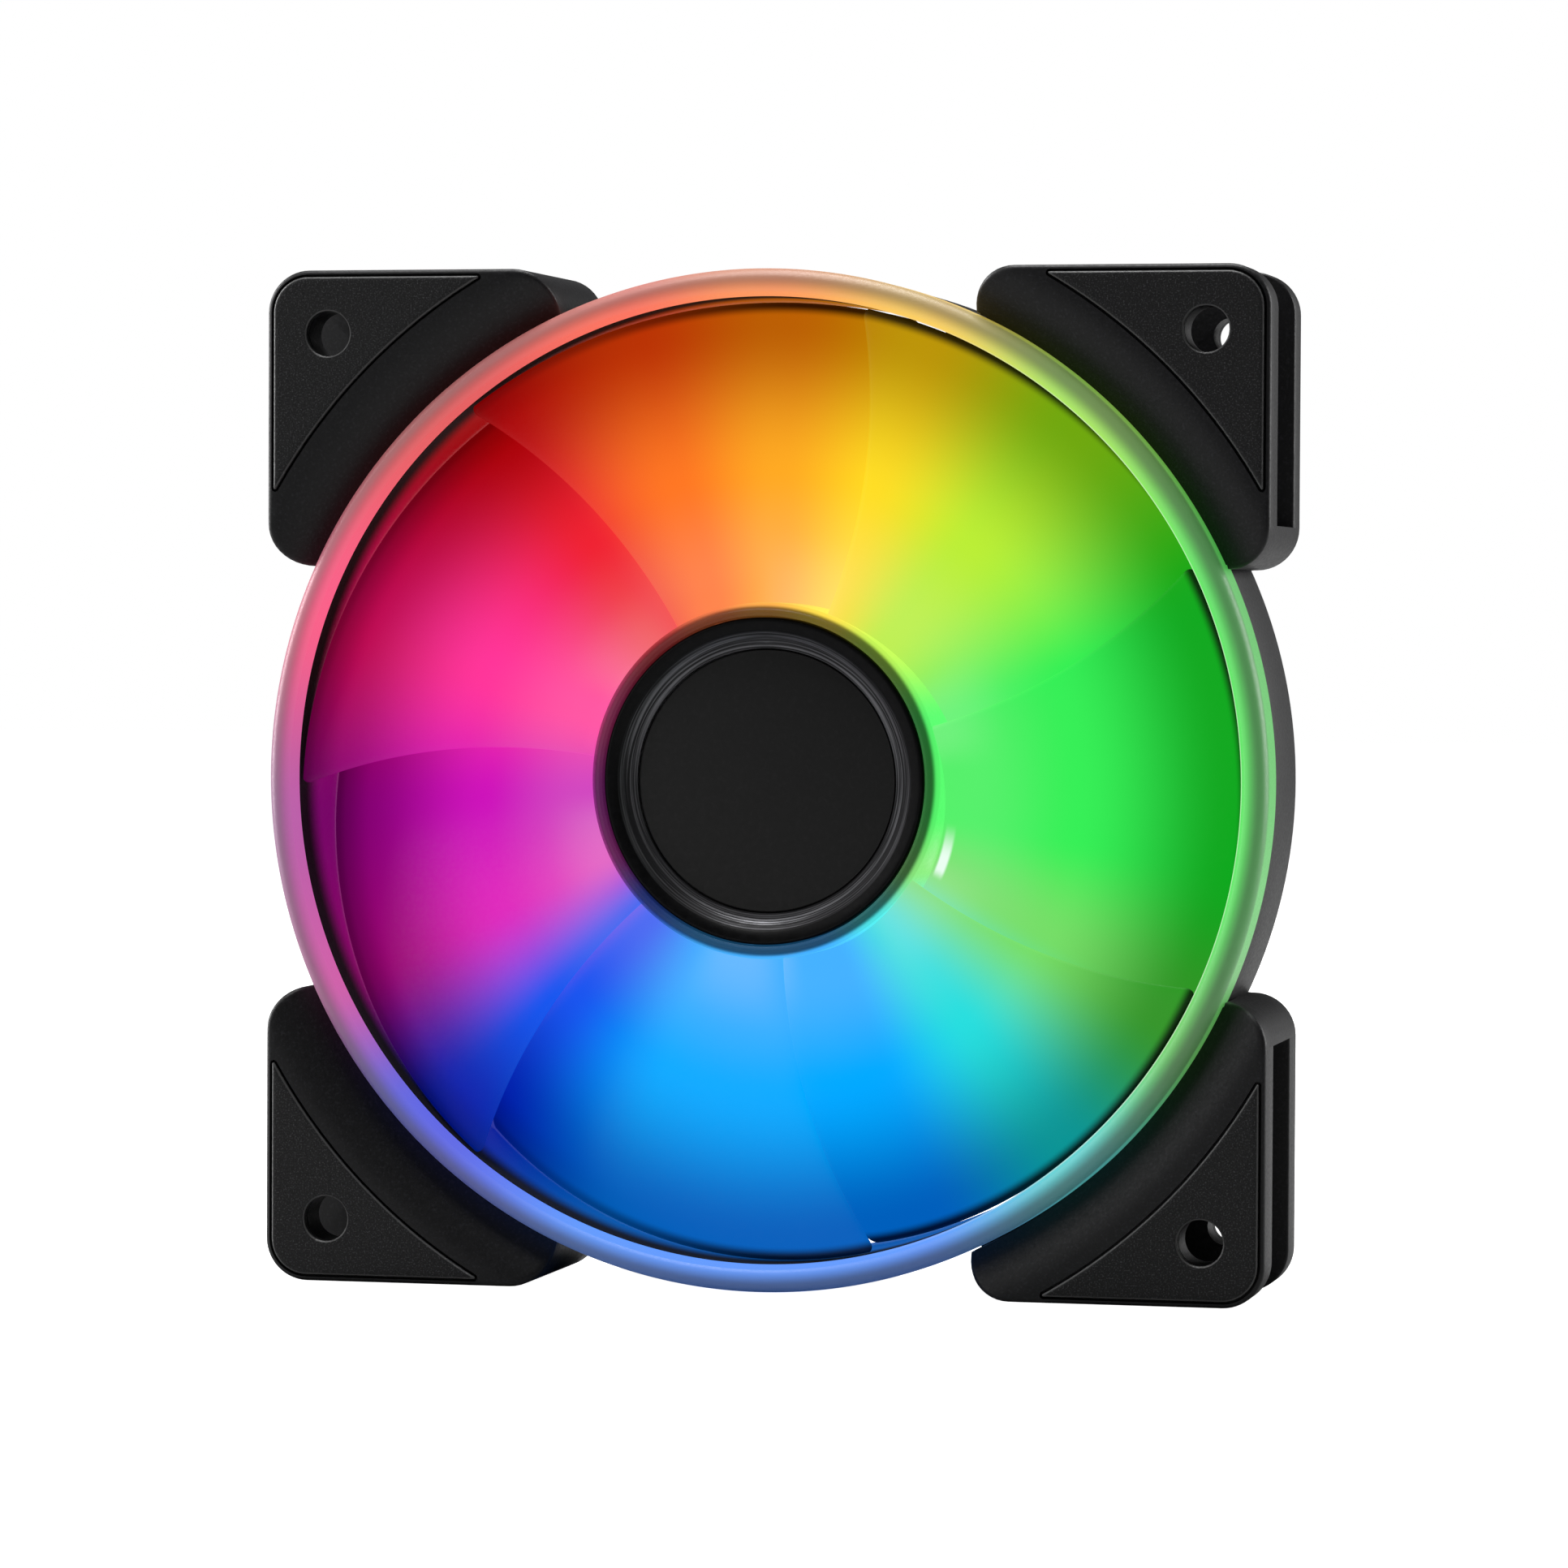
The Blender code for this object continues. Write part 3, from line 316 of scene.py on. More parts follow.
def grained(name, dark, light, roughness, rougher, grain_scale, speckle_scale, bump):
    """A grained surface: speckles are lighter, and cloudy patches change its roughness a little."""
    material = bpy.data.materials.new(name)
    material.use_nodes = True
    nodes, links = material.node_tree.nodes, material.node_tree.links
    shader = nodes["Principled BSDF"]
    grain = placed(nodes, MOULD_GRAIN)
    grain.inputs["Grain Scale"].default_value = grain_scale
    grain.inputs["Speckle Scale"].default_value = speckle_scale
    colour = nodes.new("ShaderNodeMix")
    colour.data_type = "RGBA"
    colour.inputs["A"].default_value = dark
    colour.inputs["B"].default_value = light
    links.new(grain.outputs["Speckle"], colour.inputs["Factor"])
    links.new(colour.outputs["Result"], shader.inputs["Base Color"])
    rough = nodes.new("ShaderNodeMapRange")
    rough.inputs["From Min"].default_value = 0.3
    rough.inputs["From Max"].default_value = 0.7
    rough.inputs["To Min"].default_value = roughness
    rough.inputs["To Max"].default_value = rougher
    links.new(grain.outputs["Height"], rough.inputs["Value"])
    links.new(rough.outputs["Result"], shader.inputs["Roughness"])
    dent = nodes.new("ShaderNodeBump")
    dent.inputs["Strength"].default_value = 0.6
    dent.inputs["Distance"].default_value = bump
    links.new(grain.outputs["Height"], dent.inputs["Height"])
    links.new(dent.outputs["Normal"], shader.inputs["Normal"])
    shader.inputs["Specular IOR Level"].default_value = 0.3
    return material


FRAME_BLACK = grained(
    "frame_black", srgb("0c0c0e"), srgb("1b1b1e"), 0.4, 0.54,
    grain_scale=2600.0, speckle_scale=2800.0, bump=0.00004
)


AMBER, GOLD, LEMON, LEAF_GREEN, LIME = "ffaa22", "ffdd22", "bbee33", "33ee55", "77dd66"
TURQUOISE, SKY_BLUE, ROYAL_BLUE = "22dddd", "00aaff", "1155ee"
MAGENTA, PURPLE, HOT_PINK, RED, ORANGE = "dd22bb", "cc11bb", "ff3399", "ee2233", "ff7722"
LIGHT_WHEEL = {0: AMBER, 20: GOLD, 40: LEMON, 70: LEAF_GREEN, 100: LEAF_GREEN, 120: LIME, 140: TURQUOISE}
LIGHT_WHEEL |= {160: SKY_BLUE, 200: SKY_BLUE, 225: ROYAL_BLUE, 245: MAGENTA, 265: PURPLE, 290: HOT_PINK}
LIGHT_WHEEL |= {320: RED, 342: ORANGE}


def ring_of_light(nodes, links, turn):
    """The wheel of light as a colour ramp that runs once round the fan, from clockwise angles to colours."""
    ramp = nodes.new("ShaderNodeValToRGB")
    ramp.color_ramp.interpolation = "EASE"
    elements = ramp.color_ramp.elements
    elements[0].position, elements[0].color = 0.0, srgb(LIGHT_WHEEL[0])
    elements[1].position, elements[1].color = 1.0, srgb(LIGHT_WHEEL[0])
    for angle, code in LIGHT_WHEEL.items():
        if angle:
            elements.new(angle / 360).color = srgb(code)
    links.new(turn, ramp.inputs["Fac"])
    return ramp.outputs["Color"]


def round_the_axis_group():
    """Where a point lies: Turn is its clockwise share of a full turn, Radius and Depth are in millimetres."""
    group = bpy.data.node_groups.new("round_the_axis", "ShaderNodeTree")
    for name in ("Turn", "Radius", "Depth"):
        group.interface.new_socket(name, in_out="OUTPUT", socket_type="NodeSocketFloat")
    nodes, links = group.nodes, group.links
    made = nodes.new("NodeGroupOutput")
    where = nodes.new("ShaderNodeTexCoord")
    parts = nodes.new("ShaderNodeSeparateXYZ")
    links.new(where.outputs["Object"], parts.inputs["Vector"])

    def step(operation, first, second):
        """One arithmetic node between two sockets or plain numbers."""
        node = nodes.new("ShaderNodeMath")
        node.operation = operation
        for socket, value in zip(node.inputs, (first, second)):
            if isinstance(value, (int, float)):
                socket.default_value = value
            else:
                links.new(value, socket)
        return node.outputs["Value"]

    x, y, z = (parts.outputs[name] for name in "XYZ")
    angle = step("ARCTAN2", x, z)
    links.new(step("FRACT", step("ADD", step("MULTIPLY", angle, 1 / math.tau), 1.0), 0.0), made.inputs["Turn"])
    square = step("ADD", step("MULTIPLY", x, x), step("MULTIPLY", z, z))
    links.new(step("MULTIPLY", step("SQRT", square, 0.0), 1000.0), made.inputs["Radius"])
    links.new(step("MULTIPLY", y, 1000.0), made.inputs["Depth"])
    return group


ROUND_THE_AXIS = round_the_axis_group()


def eased(nodes, links, value, low, high, to_low=0.0, to_high=1.0):
    """A smooth step of a value between two limits."""
    step = nodes.new("ShaderNodeMapRange")
    step.interpolation_type = "SMOOTHSTEP"
    for name, number in (("From Min", low), ("From Max", high), ("To Min", to_low), ("To Max", to_high)):
        step.inputs[name].default_value = number
    links.new(value, step.inputs["Value"])
    return step.outputs["Result"]


def from_right(nodes, links, turn):
    """How far round the axis a point lies from the fan's right-hand side, as a share of a full turn."""
    for operation, number in (("ADD", 0.75), ("PINGPONG", 0.5)):
        step = nodes.new("ShaderNodeMath")
        step.operation = operation
        step.inputs[1].default_value = number
        links.new(turn, step.inputs[0])
        turn = step.outputs["Value"]
    return turn


def product(nodes, links, *values):
    """Several masks multiplied together."""
    total = values[0]
    for value in values[1:]:
        times = nodes.new("ShaderNodeMath")
        times.operation = "MULTIPLY"
        links.new(total, times.inputs[0])
        links.new(value, times.inputs[1])
        total = times.outputs["Value"]
    return total


def blend_colours(nodes, links, factor, first, second):
    """Two colours mixed by a factor, which is a socket or a number."""
    mix = nodes.new("ShaderNodeMix")
    mix.data_type = "RGBA"
    for name, value in (("Factor", factor), ("A", first), ("B", second)):
        socket = mix.inputs[name]
        if isinstance(value, (int, float, tuple)):
            socket.default_value = value
        else:
            links.new(value, socket)
    return mix.outputs["Result"]


DEEPENING, TIP_DIMMING = 1.6, 0.5


def deepened(nodes, links, colour):
    """A colour as it looks after a long way through the plastic, which takes its paler share away."""
    deeper = nodes.new("ShaderNodeGamma")
    deeper.inputs["Gamma"].default_value = DEEPENING
    links.new(colour, deeper.inputs["Color"])
    return deeper.outputs["Color"]


def barrel_material():
    """Frame black: rougher and painted darker in the bore, with a painted glow for light from the blades' tips
    behind.
    """
    material = grained(
        "barrel_black", srgb("0c0c0e"), srgb("1b1b1e"), 0.4, 0.54,
        grain_scale=2600.0, speckle_scale=2800.0, bump=0.00004
    )
    nodes, links = material.node_tree.nodes, material.node_tree.links
    shader = nodes["Principled BSDF"]
    axis = placed(nodes, ROUND_THE_AXIS)
    inside = eased(nodes, links, axis.outputs["Radius"], BORE + 0.35, BORE + 0.1)
    plain_colour = shader.inputs["Base Color"].links[0].from_socket
    # Painted shade: inside the bore the frame's colour is darkened almost to black.
    painted_bore_shade = blend_colours(nodes, links, inside, plain_colour, (0.002, 0.002, 0.002, 1.0))
    links.new(painted_bore_shade, shader.inputs["Base Color"])
    plain_roughness = shader.inputs["Roughness"].links[0].from_socket
    gloss = nodes.new("ShaderNodeMix")
    links.new(inside, gloss.inputs["Factor"])
    links.new(plain_roughness, gloss.inputs["A"])
    gloss.inputs["B"].default_value = 0.85
    links.new(gloss.outputs["Result"], shader.inputs["Roughness"])
    # Painted light: the bore glows in the blades' colours, stronger towards the blades, for light spilled from
    # their tips.
    wheel = deepened(nodes, links, ring_of_light(nodes, links, axis.outputs["Turn"]))
    tips = blend_colours(nodes, links, TIP_DIMMING, wheel, (0.0, 0.0, 0.0, 1.0))
    behind = product(nodes, links, inside, eased(nodes, links, axis.outputs["Depth"], RING_SEAT + 2.0, -1.0))
    glow = blend_colours(nodes, links, behind, (0.0, 0.0, 0.0, 1.0), tips)
    links.new(glow, shader.inputs["Emission Color"])
    shader.inputs["Emission Strength"].default_value = 0.8
    return material


def stands_for(piece, material, body, slot, *nodes):
    """Gives a piece its material, lets it ride on a body and puts it in the place of the CAD nodes."""
    piece.data.materials.clear()
    piece.data.materials.append(material)
    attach(piece, body)
    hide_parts(*nodes)


barrel_profile = filleted(
    [
        (BARREL_OUTER, STEP_FLOOR, 0.15),
        (BARREL_OUTER, FRAME_REAR, 0.4),
        (BORE + OUTLET_FLARE, FRAME_REAR, 0.15),
        (BORE, FRAME_REAR - OUTLET_FLARE, 0.8),
        (BORE, RING_SEAT, 0.1),
        (STEP_RADIUS, RING_SEAT, 0.1),
        (STEP_RADIUS, STEP_FLOOR, 0.0),
    ]
)
barrel = turned("barrel", barrel_profile)
cut_away(barrel, cable_channel("barrel_channel"))
stands_for(barrel, barrel_material(), "stator", "frame_plastic", "frame")


# Corner blocks
# Moulded with the barrel. Each is a square corner whose two flanges stand apart, with a slot between them for
# the screws, and a curved band that falls from the pad's edge to the light ring.
HALF_WIDTH = 60.0
BLOCK_START = 25.0
CORNER_RADIUS = 5.0
EDGE_ROUND = 0.55
SLOT_EDGE = 0.3
SLOT_START = 30.0
SLOT_FRONT, SLOT_REAR, SLOT_FLOOR = -6.3, 6.9, 61.8
BAND_INNER, BAND_OUTER, BAND_DROP = 60.1, 67.3, 3.4
BLOCK_ROOT = 58.3
HOLE_PLACE = 52.5
PAD_POCKET_RADIUS, PAD_POCKET_INSET, PAD_POCKET_DEPTH = 67.8, 0.5, 1.3
PAD_TIP_ROUND = 0.95


def arc(centre, radius, start, end, count):
    """Points on an arc between two angles, in degrees anticlockwise from +X towards +Z."""
    angle = np.radians(np.linspace(start, end, count))
    return np.column_stack((centre[0] + radius * np.cos(angle), centre[1] + radius * np.sin(angle)))


END_POINTS, CORNER_STEPS = 2, 12


def block_outline(inset):
    """The block's outer edge from one end to the other, moved inwards by an inset."""
    side, end = HALF_WIDTH - inset, BLOCK_START + inset
    radius = CORNER_RADIUS - inset
    middle, top = SLOT_START, HALF_WIDTH - CORNER_RADIUS
    root = math.sqrt(BAND_INNER**2 - BLOCK_START**2)
    half = [
        np.column_stack((np.linspace(root, top, END_POINTS + 1)[:-1], np.full(END_POINTS, end))),
        arc((top, middle), radius, -90, 0, CORNER_STEPS),
        np.column_stack((np.full(20, side), np.linspace(middle, top, 20))),
        arc((top, top), radius, 0, 45, 8)[1:],
    ]
    first = np.concatenate(half)
    return np.concatenate((first, first[-2::-1, ::-1]))


def band_height(radius):
    """Depth of the block's front: level outside the band, then falling along a quarter of a cosine."""
    share = np.clip((BAND_OUTER - radius) / (BAND_OUTER - BAND_INNER), 0, 1)
    return FRAME_FRONT + BAND_DROP * (1 - np.cos(share * np.pi / 2))


def where_reaches(start, end, radius):
    """The points on the lines from start to end at a distance from the axis, or the ends if they lie nearer."""
    run = end - start
    a, b = (run**2).sum(1), 2 * (start * run).sum(1)
    c = (start**2).sum(1) - radius**2
    share = (-b + np.sqrt(np.maximum(b**2 - 4 * a * c, 0))) / (2 * a)
    return start + np.clip(share, 0, 1)[:, None] * run


def round_axis(angle, radius):
    """Points at anticlockwise angles in degrees and a distance from the axis."""
    return np.column_stack((np.cos(np.radians(angle)), np.sin(np.radians(angle)))) * radius


def corner_block():
    """One block as closed sections, each from the barrel's wall to the block's outline and back behind.
    Between the slot's ends they step in to the slot's floor."""
    edge, flat = block_outline(0.0), block_outline(EDGE_ROUND)
    count = len(edge)
    half = count // 2
    slot_at = END_POINTS + CORNER_STEPS - 1
    slot_ends = count - 1 - slot_at
    knots = [0, slot_at, half, slot_ends, count - 1]
    place = np.arange(count)
    root_angle = np.interp(place, knots, [25.2, 31.0, 45.0, 59.0, 64.8])
    start_angle = math.degrees(math.asin(SLOT_START / SLOT_FLOOR))
    floor_angle = np.interp(place, knots[1:-1], [start_angle, 45.0, 90 - start_angle])
    root, floor = round_axis(root_angle, BLOCK_ROOT), round_axis(floor_angle, SLOT_FLOOR)
    foot, crest = where_reaches(root, flat, BAND_INNER), where_reaches(root, flat, BAND_OUTER)
    top = band_height(np.linalg.norm(flat, axis=1))
    columns = [(root, np.full(count, STEP_FLOOR)), (foot, np.full(count, STEP_FLOOR))]
    for share in np.linspace(0, 1, 14):
        spot = foot + share * (crest - foot)
        columns.append((spot, band_height(np.linalg.norm(spot, axis=1))))
    for share in (0.4, 0.8, 1.0):
        spot = crest + share * (flat - crest)
        columns.append((spot, band_height(np.linalg.norm(spot, axis=1))))
    for angle in np.radians((22.5, 45, 67.5, 90)):
        columns.append((flat + (edge - flat) * math.sin(angle), top + EDGE_ROUND * (1 - math.cos(angle))))
    front_side = len(columns)
    soft = SLOT_EDGE * np.clip(np.minimum(place - slot_at, slot_ends - place), 0, 1)
    inward = block_outline(SLOT_EDGE)
    for angle in np.radians((0, 30, 60, 90)):
        spot = edge + (inward - edge) * (soft / SLOT_EDGE * (1 - math.cos(angle)))[:, None]
        columns.append((spot, SLOT_FRONT - soft * (1 - math.sin(angle))))
    columns.append((floor, np.full(count, SLOT_FRONT)))
    columns.append((floor, np.full(count, SLOT_REAR)))
    for angle in np.radians((90, 60, 30, 0)):
        spot = edge + (inward - edge) * (soft / SLOT_EDGE * (1 - math.cos(angle)))[:, None]
        columns.append((spot, SLOT_REAR + soft * (1 - math.sin(angle))))
    rear_side = len(columns)
    for angle in np.radians((90, 67.5, 45, 22.5, 0)):
        spot = flat + (edge - flat) * math.sin(angle)
        columns.append((spot, np.full(count, FRAME_REAR - EDGE_ROUND * (1 - math.cos(angle)))))
    columns.append((root, np.full(count, FRAME_REAR)))
    plan = np.stack([spot for spot, _ in columns], 1)
    depth = np.stack([height for _, height in columns], 1)
    closed = plan.copy()
    closed[:, front_side:rear_side] = edge[:, None]
    sections = []
    for index in range(count):
        if index <= slot_at or index >= slot_ends:
            sections.append((closed[index], depth[index]))
        if index == slot_ends:
            sections.insert(-1, (plan[index], depth[index]))
        elif slot_at <= index < slot_ends:
            sections.append((plan[index], depth[index]))
    return np.stack([np.column_stack((spot[:, 0], height, spot[:, 1])) for spot, height in sections])


def quarter_turned(points, quarter):
    """Points turned clockwise round the axis by quarters of a turn."""
    angle = quarter * np.pi / 2
    cosine, sine = math.cos(angle), math.sin(angle)
    x, y, z = np.moveaxis(points, -1, 0)
    return np.stack((x * cosine + z * sine, y, z * cosine - x * sine), -1)


def pad_outline(inset):
    """The edge of a corner's pad: an arc round the axis, a small round at the tip that touches the arc and the
    side, a straight leg and the outer corner, then the same mirrored in the corner's diagonal."""
    side, radius = HALF_WIDTH - inset, PAD_POCKET_RADIUS + inset - PAD_POCKET_INSET
    tip = max(PAD_TIP_ROUND - inset, 0.08)
    tip_height = math.sqrt((radius + tip) ** 2 - (side - tip) ** 2)
    low = math.degrees(math.atan2(tip_height, side - tip))
    corner = HALF_WIDTH - CORNER_RADIUS
    half = np.concatenate(
        (
            arc((0, 0), radius, 45, low, 24),
            arc((side - tip, tip_height), tip, low - 180, 0, 8)[1:],
            np.column_stack((np.full(15, side), np.linspace(tip_height, corner, 16)[1:])),
            arc((corner, corner), CORNER_RADIUS - inset, 0, 45, 8)[1:],
        )
    )
    return np.concatenate((half, half[-2:0:-1, ::-1]))


def prisms(name, prism_list):
    """Several straight prisms in one object. Each is (plan outline, low depth, high depth)."""
    points, faces, caps, offset = [], [], [], 0
    for outline, low, high in prism_list:
        count = len(outline)
        for depth in (low, high):
            points.append(np.column_stack((outline[:, 0], np.full(count, depth), outline[:, 1])))
        faces.append(grid_faces(2, count, False, True) + offset)
        caps += [range(offset, offset + count), range(offset + 2 * count - 1, offset + count - 1, -1)]
        offset += 2 * count
    return solid(name, np.concatenate(points), np.concatenate(faces), caps=caps)


def plan_turned(outline, quarter):
    """A flat outline turned clockwise by quarters of a turn."""
    flat = np.column_stack((outline[:, 0], np.zeros(len(outline)), outline[:, 1]))
    return quarter_turned(flat, quarter)[:, ::2]


block_points = corner_block()
rows, columns = block_points.shape[:2]
block_faces = grid_faces(rows, columns, False, True)
all_points, all_faces, all_caps = [], [], []
for quarter in range(4):
    offset = quarter * rows * columns
    all_points.append(quarter_turned(block_points, quarter).reshape(-1, 3))
    all_faces.append(block_faces + offset)
    end = offset + rows * columns
    all_caps += [range(offset, offset + columns), range(end - 1, end - columns - 1, -1)]
corner_blocks = solid("corner_blocks", np.concatenate(all_points), np.concatenate(all_faces), caps=all_caps)
FRONT_HOLE, REAR_HOLE = 2.7, 2.15
pocket = pad_outline(PAD_POCKET_INSET)
hole_at = (HOLE_PLACE, HOLE_PLACE)
cuts = []
for quarter in range(4):
    cuts.append((plan_turned(pocket, quarter), FRAME_FRONT - 1, FRAME_FRONT + PAD_POCKET_DEPTH))
    cuts.append((plan_turned(pocket, quarter), FRAME_REAR - PAD_POCKET_DEPTH, FRAME_REAR + 1))
cut_away(corner_blocks, prisms("pad_pockets", cuts))
cuts = []
for quarter in range(4):
    cuts.append((plan_turned(arc(hole_at, FRONT_HOLE, 0, 360, 65)[:-1], quarter), -14, 0))
    cuts.append((plan_turned(arc(hole_at, REAR_HOLE, 0, 360, 65)[:-1], quarter), 1, 14))
cut_away(corner_blocks, prisms("screw_holes", cuts))
stands_for(corner_blocks, FRAME_BLACK, "stator", "frame_plastic", "frame")


# Motor base and struts
# Still the same moulding: a shallow cup for the motor's board behind the hub, held by four straight struts
# that pass beside the axis. The first strut carries the wires in a channel.
BASE_RADIUS = 20.95
BASE_RIM_WALL = 0.95
BASE_FLOOR, BASE_RIM_FRONT = 9.8, 7.6
SOCKET_OUTER, SOCKET_BORE, SOCKET_FRONT = 5.91, 4.41, 8.6
LABEL_RECESS, LABEL_SEAT = 17.2, 11.3
STRUT_WIDTH, STRUT_DEPTH = 5.2, 3.6
STRUT_ROUND = 0.9
STRUT_START, STRUT_END = BASE_RADIUS - 0.5, 58.4

motor_base = turned(
    "motor_base",
    filleted(
        [
            (BASE_RADIUS, BASE_RIM_FRONT, 0.3),
            (BASE_RADIUS, FRAME_REAR, 0.5),
            (LABEL_RECESS, FRAME_REAR, 0.15),
            (LABEL_RECESS, LABEL_SEAT, 0.1),
            (SOCKET_BORE, LABEL_SEAT, 0.1),
            (SOCKET_BORE, SOCKET_FRONT, 0.1),
            (SOCKET_OUTER, SOCKET_FRONT, 0.2),
            (SOCKET_OUTER, BASE_FLOOR, 0.2),
            (BASE_RADIUS - BASE_RIM_WALL, BASE_FLOOR, 0.2),
            (BASE_RADIUS - BASE_RIM_WALL, BASE_RIM_FRONT, 0.25),
        ]
    ),
    steps=160,
)
stands_for(motor_base, FRAME_BLACK, "stator", "frame_plastic", "frame")
strut_front = FRAME_REAR - STRUT_DEPTH
half_strut, half_channel = STRUT_WIDTH / 2, CHANNEL_WIDTH / 2
plain_section = [
    (-half_strut, strut_front, STRUT_ROUND),
    (half_strut, strut_front, STRUT_ROUND),
    (half_strut, FRAME_REAR, 0.3),
    (-half_strut, FRAME_REAR, 0.3),
]
channel_section = plain_section[:3] + [
    (half_channel, FRAME_REAR, 0.15),
    (half_channel, FRAME_REAR - CHANNEL_DEPTH, 0.2),
    (-half_channel, FRAME_REAR - CHANNEL_DEPTH, 0.2),
    (-half_channel, FRAME_REAR, 0.15),
    plain_section[3],
]
for quarter in range(4):
    section = filleted(channel_section if quarter == 0 else plain_section)
    across = section[:, 0] - STRUT_OFFSET
    near = np.sqrt(np.maximum(STRUT_START, np.abs(across)) ** 2 - across**2)
    far = np.sqrt(STRUT_END**2 - across**2)
    points = np.concatenate([np.column_stack((section, distance)) for distance in (near, far)])
    count = len(section)
    strut = solid(
        f"strut_{quarter + 1}",
        along_strut(points, quarter),
        grid_faces(2, count, False, True),
        caps=(range(count), range(2 * count - 1, count - 1, -1)),
    )
    stands_for(strut, FRAME_BLACK, "stator", "frame_plastic", "frame")


# Corner pads
# Soft black rubber mouldings with a coarse grain, pressed into the corners' pockets, front and rear. They carry
# the screw holes, have rounded edges and stand a little proud of the frame.
PAD_GAP = 0.3
PAD_THICKNESS, PAD_FACE = 1.3, 12.5
PAD_EDGE_ROUND = 0.35
HOLE_CHAMFER = 0.2


def pad_material():
    """Grained rubber, smoother along its rounded edges and round the screw hole, where a paler highlight is
    painted.
    """
    material = grained(
        "pad_black", srgb("0c0c0d"), srgb("3c3c3e"), 0.45, 0.65,
        grain_scale=3400.0, speckle_scale=5200.0, bump=0.00012
    )
    nodes, links = material.node_tree.nodes, material.node_tree.links
    shader = nodes["Principled BSDF"]
    axis = placed(nodes, ROUND_THE_AXIS)
    depth = nodes.new("ShaderNodeMath")
    depth.operation = "ABSOLUTE"
    links.new(axis.outputs["Depth"], depth.inputs[0])
    below_face = eased(nodes, links, depth.outputs["Value"], PAD_FACE - 0.01, PAD_FACE - 0.1)
    above_side = eased(nodes, links, depth.outputs["Value"], PAD_FACE - 0.45, PAD_FACE - 0.2)
    edge_gloss_and_highlight = product(nodes, links, below_face, above_side)
    plain_colour = shader.inputs["Base Color"].links[0].from_socket
    # Painted highlight: the rounded edges and the hole's chamfer are painted paler, and they are smoother there
    # too.
    paler = blend_colours(nodes, links, edge_gloss_and_highlight, plain_colour, (0.07, 0.07, 0.07, 1.0))
    links.new(paler, shader.inputs["Base Color"])
    plain_roughness = shader.inputs["Roughness"].links[0].from_socket
    smoother = nodes.new("ShaderNodeMix")
    links.new(edge_gloss_and_highlight, smoother.inputs["Factor"])
    links.new(plain_roughness, smoother.inputs["A"])
    smoother.inputs["B"].default_value = 0.35
    links.new(smoother.outputs["Result"], shader.inputs["Roughness"])
    return material


PAD_BLACK = pad_material()


def pad_mesh(hole_radius, front):
    """A pad as loops that run from the hole over the face, round its edge, down the side and back below."""
    outline = pad_outline(PAD_POCKET_INSET + PAD_GAP)
    towards = outline - HOLE_PLACE

    def inset(width):
        """The pad's outline, moved inwards."""
        return pad_outline(PAD_POCKET_INSET + PAD_GAP + width)

    def ring(radius):
        """A circle round the hole's middle, with a point towards each point of the outline."""
        return HOLE_PLACE + towards / np.linalg.norm(towards, axis=1)[:, None] * radius

    loops = [(ring(hole_radius), PAD_FACE - PAD_THICKNESS), (ring(hole_radius), PAD_FACE - HOLE_CHAMFER)]
    loops.append((ring(hole_radius + HOLE_CHAMFER), PAD_FACE))
    inner = inset(PAD_EDGE_ROUND)
    for share in np.linspace(0.15, 1.0, 10):
        loops.append((ring(hole_radius + HOLE_CHAMFER) * (1 - share) + inner * share, PAD_FACE))
    for angle in np.radians((22.5, 45, 67.5, 90)):
        rounded = inset(PAD_EDGE_ROUND * (1 - math.sin(angle)))
        loops.append((rounded, PAD_FACE - PAD_EDGE_ROUND * (1 - math.cos(angle))))
    loops.append((outline, PAD_FACE - PAD_THICKNESS))
    sign = -1 if front else 1
    rows = []
    for plan, depth in loops:
        rows.append(np.column_stack((plan[:, 0], np.full(len(plan), sign * depth), plan[:, 1])))
    return np.stack(rows)


corner_names = ("top_right", "bottom_right", "bottom_left", "top_left")
for side, hole_radius in (("front", FRONT_HOLE), ("rear", REAR_HOLE)):
    loops = pad_mesh(hole_radius, side == "front")
    faces = grid_faces(loops.shape[0], loops.shape[1], True, True)
    for quarter, corner in enumerate(corner_names):
        pad = solid(f"{side}_pad_{corner}", quarter_turned(loops, quarter), faces)
        stands_for(pad, PAD_BLACK, "stator", "pad_rubber", f"pad_{side}_{corner}")


# Light ring
# A frosted plastic ring round the intake. Its outer wall reaches back over the barrel's step, and it shines
# most on the bevel that faces the rotor, where a fine line runs round.
RING_INNER, RING_OUTER = 56.7, 59.9
RING_CREST, RING_FRONT, RING_BACK = 57.75, -12.5, -9.7
SKIRT_INNER, SKIRT_BACK = 58.95, -5.0
FROSTING = 0.12


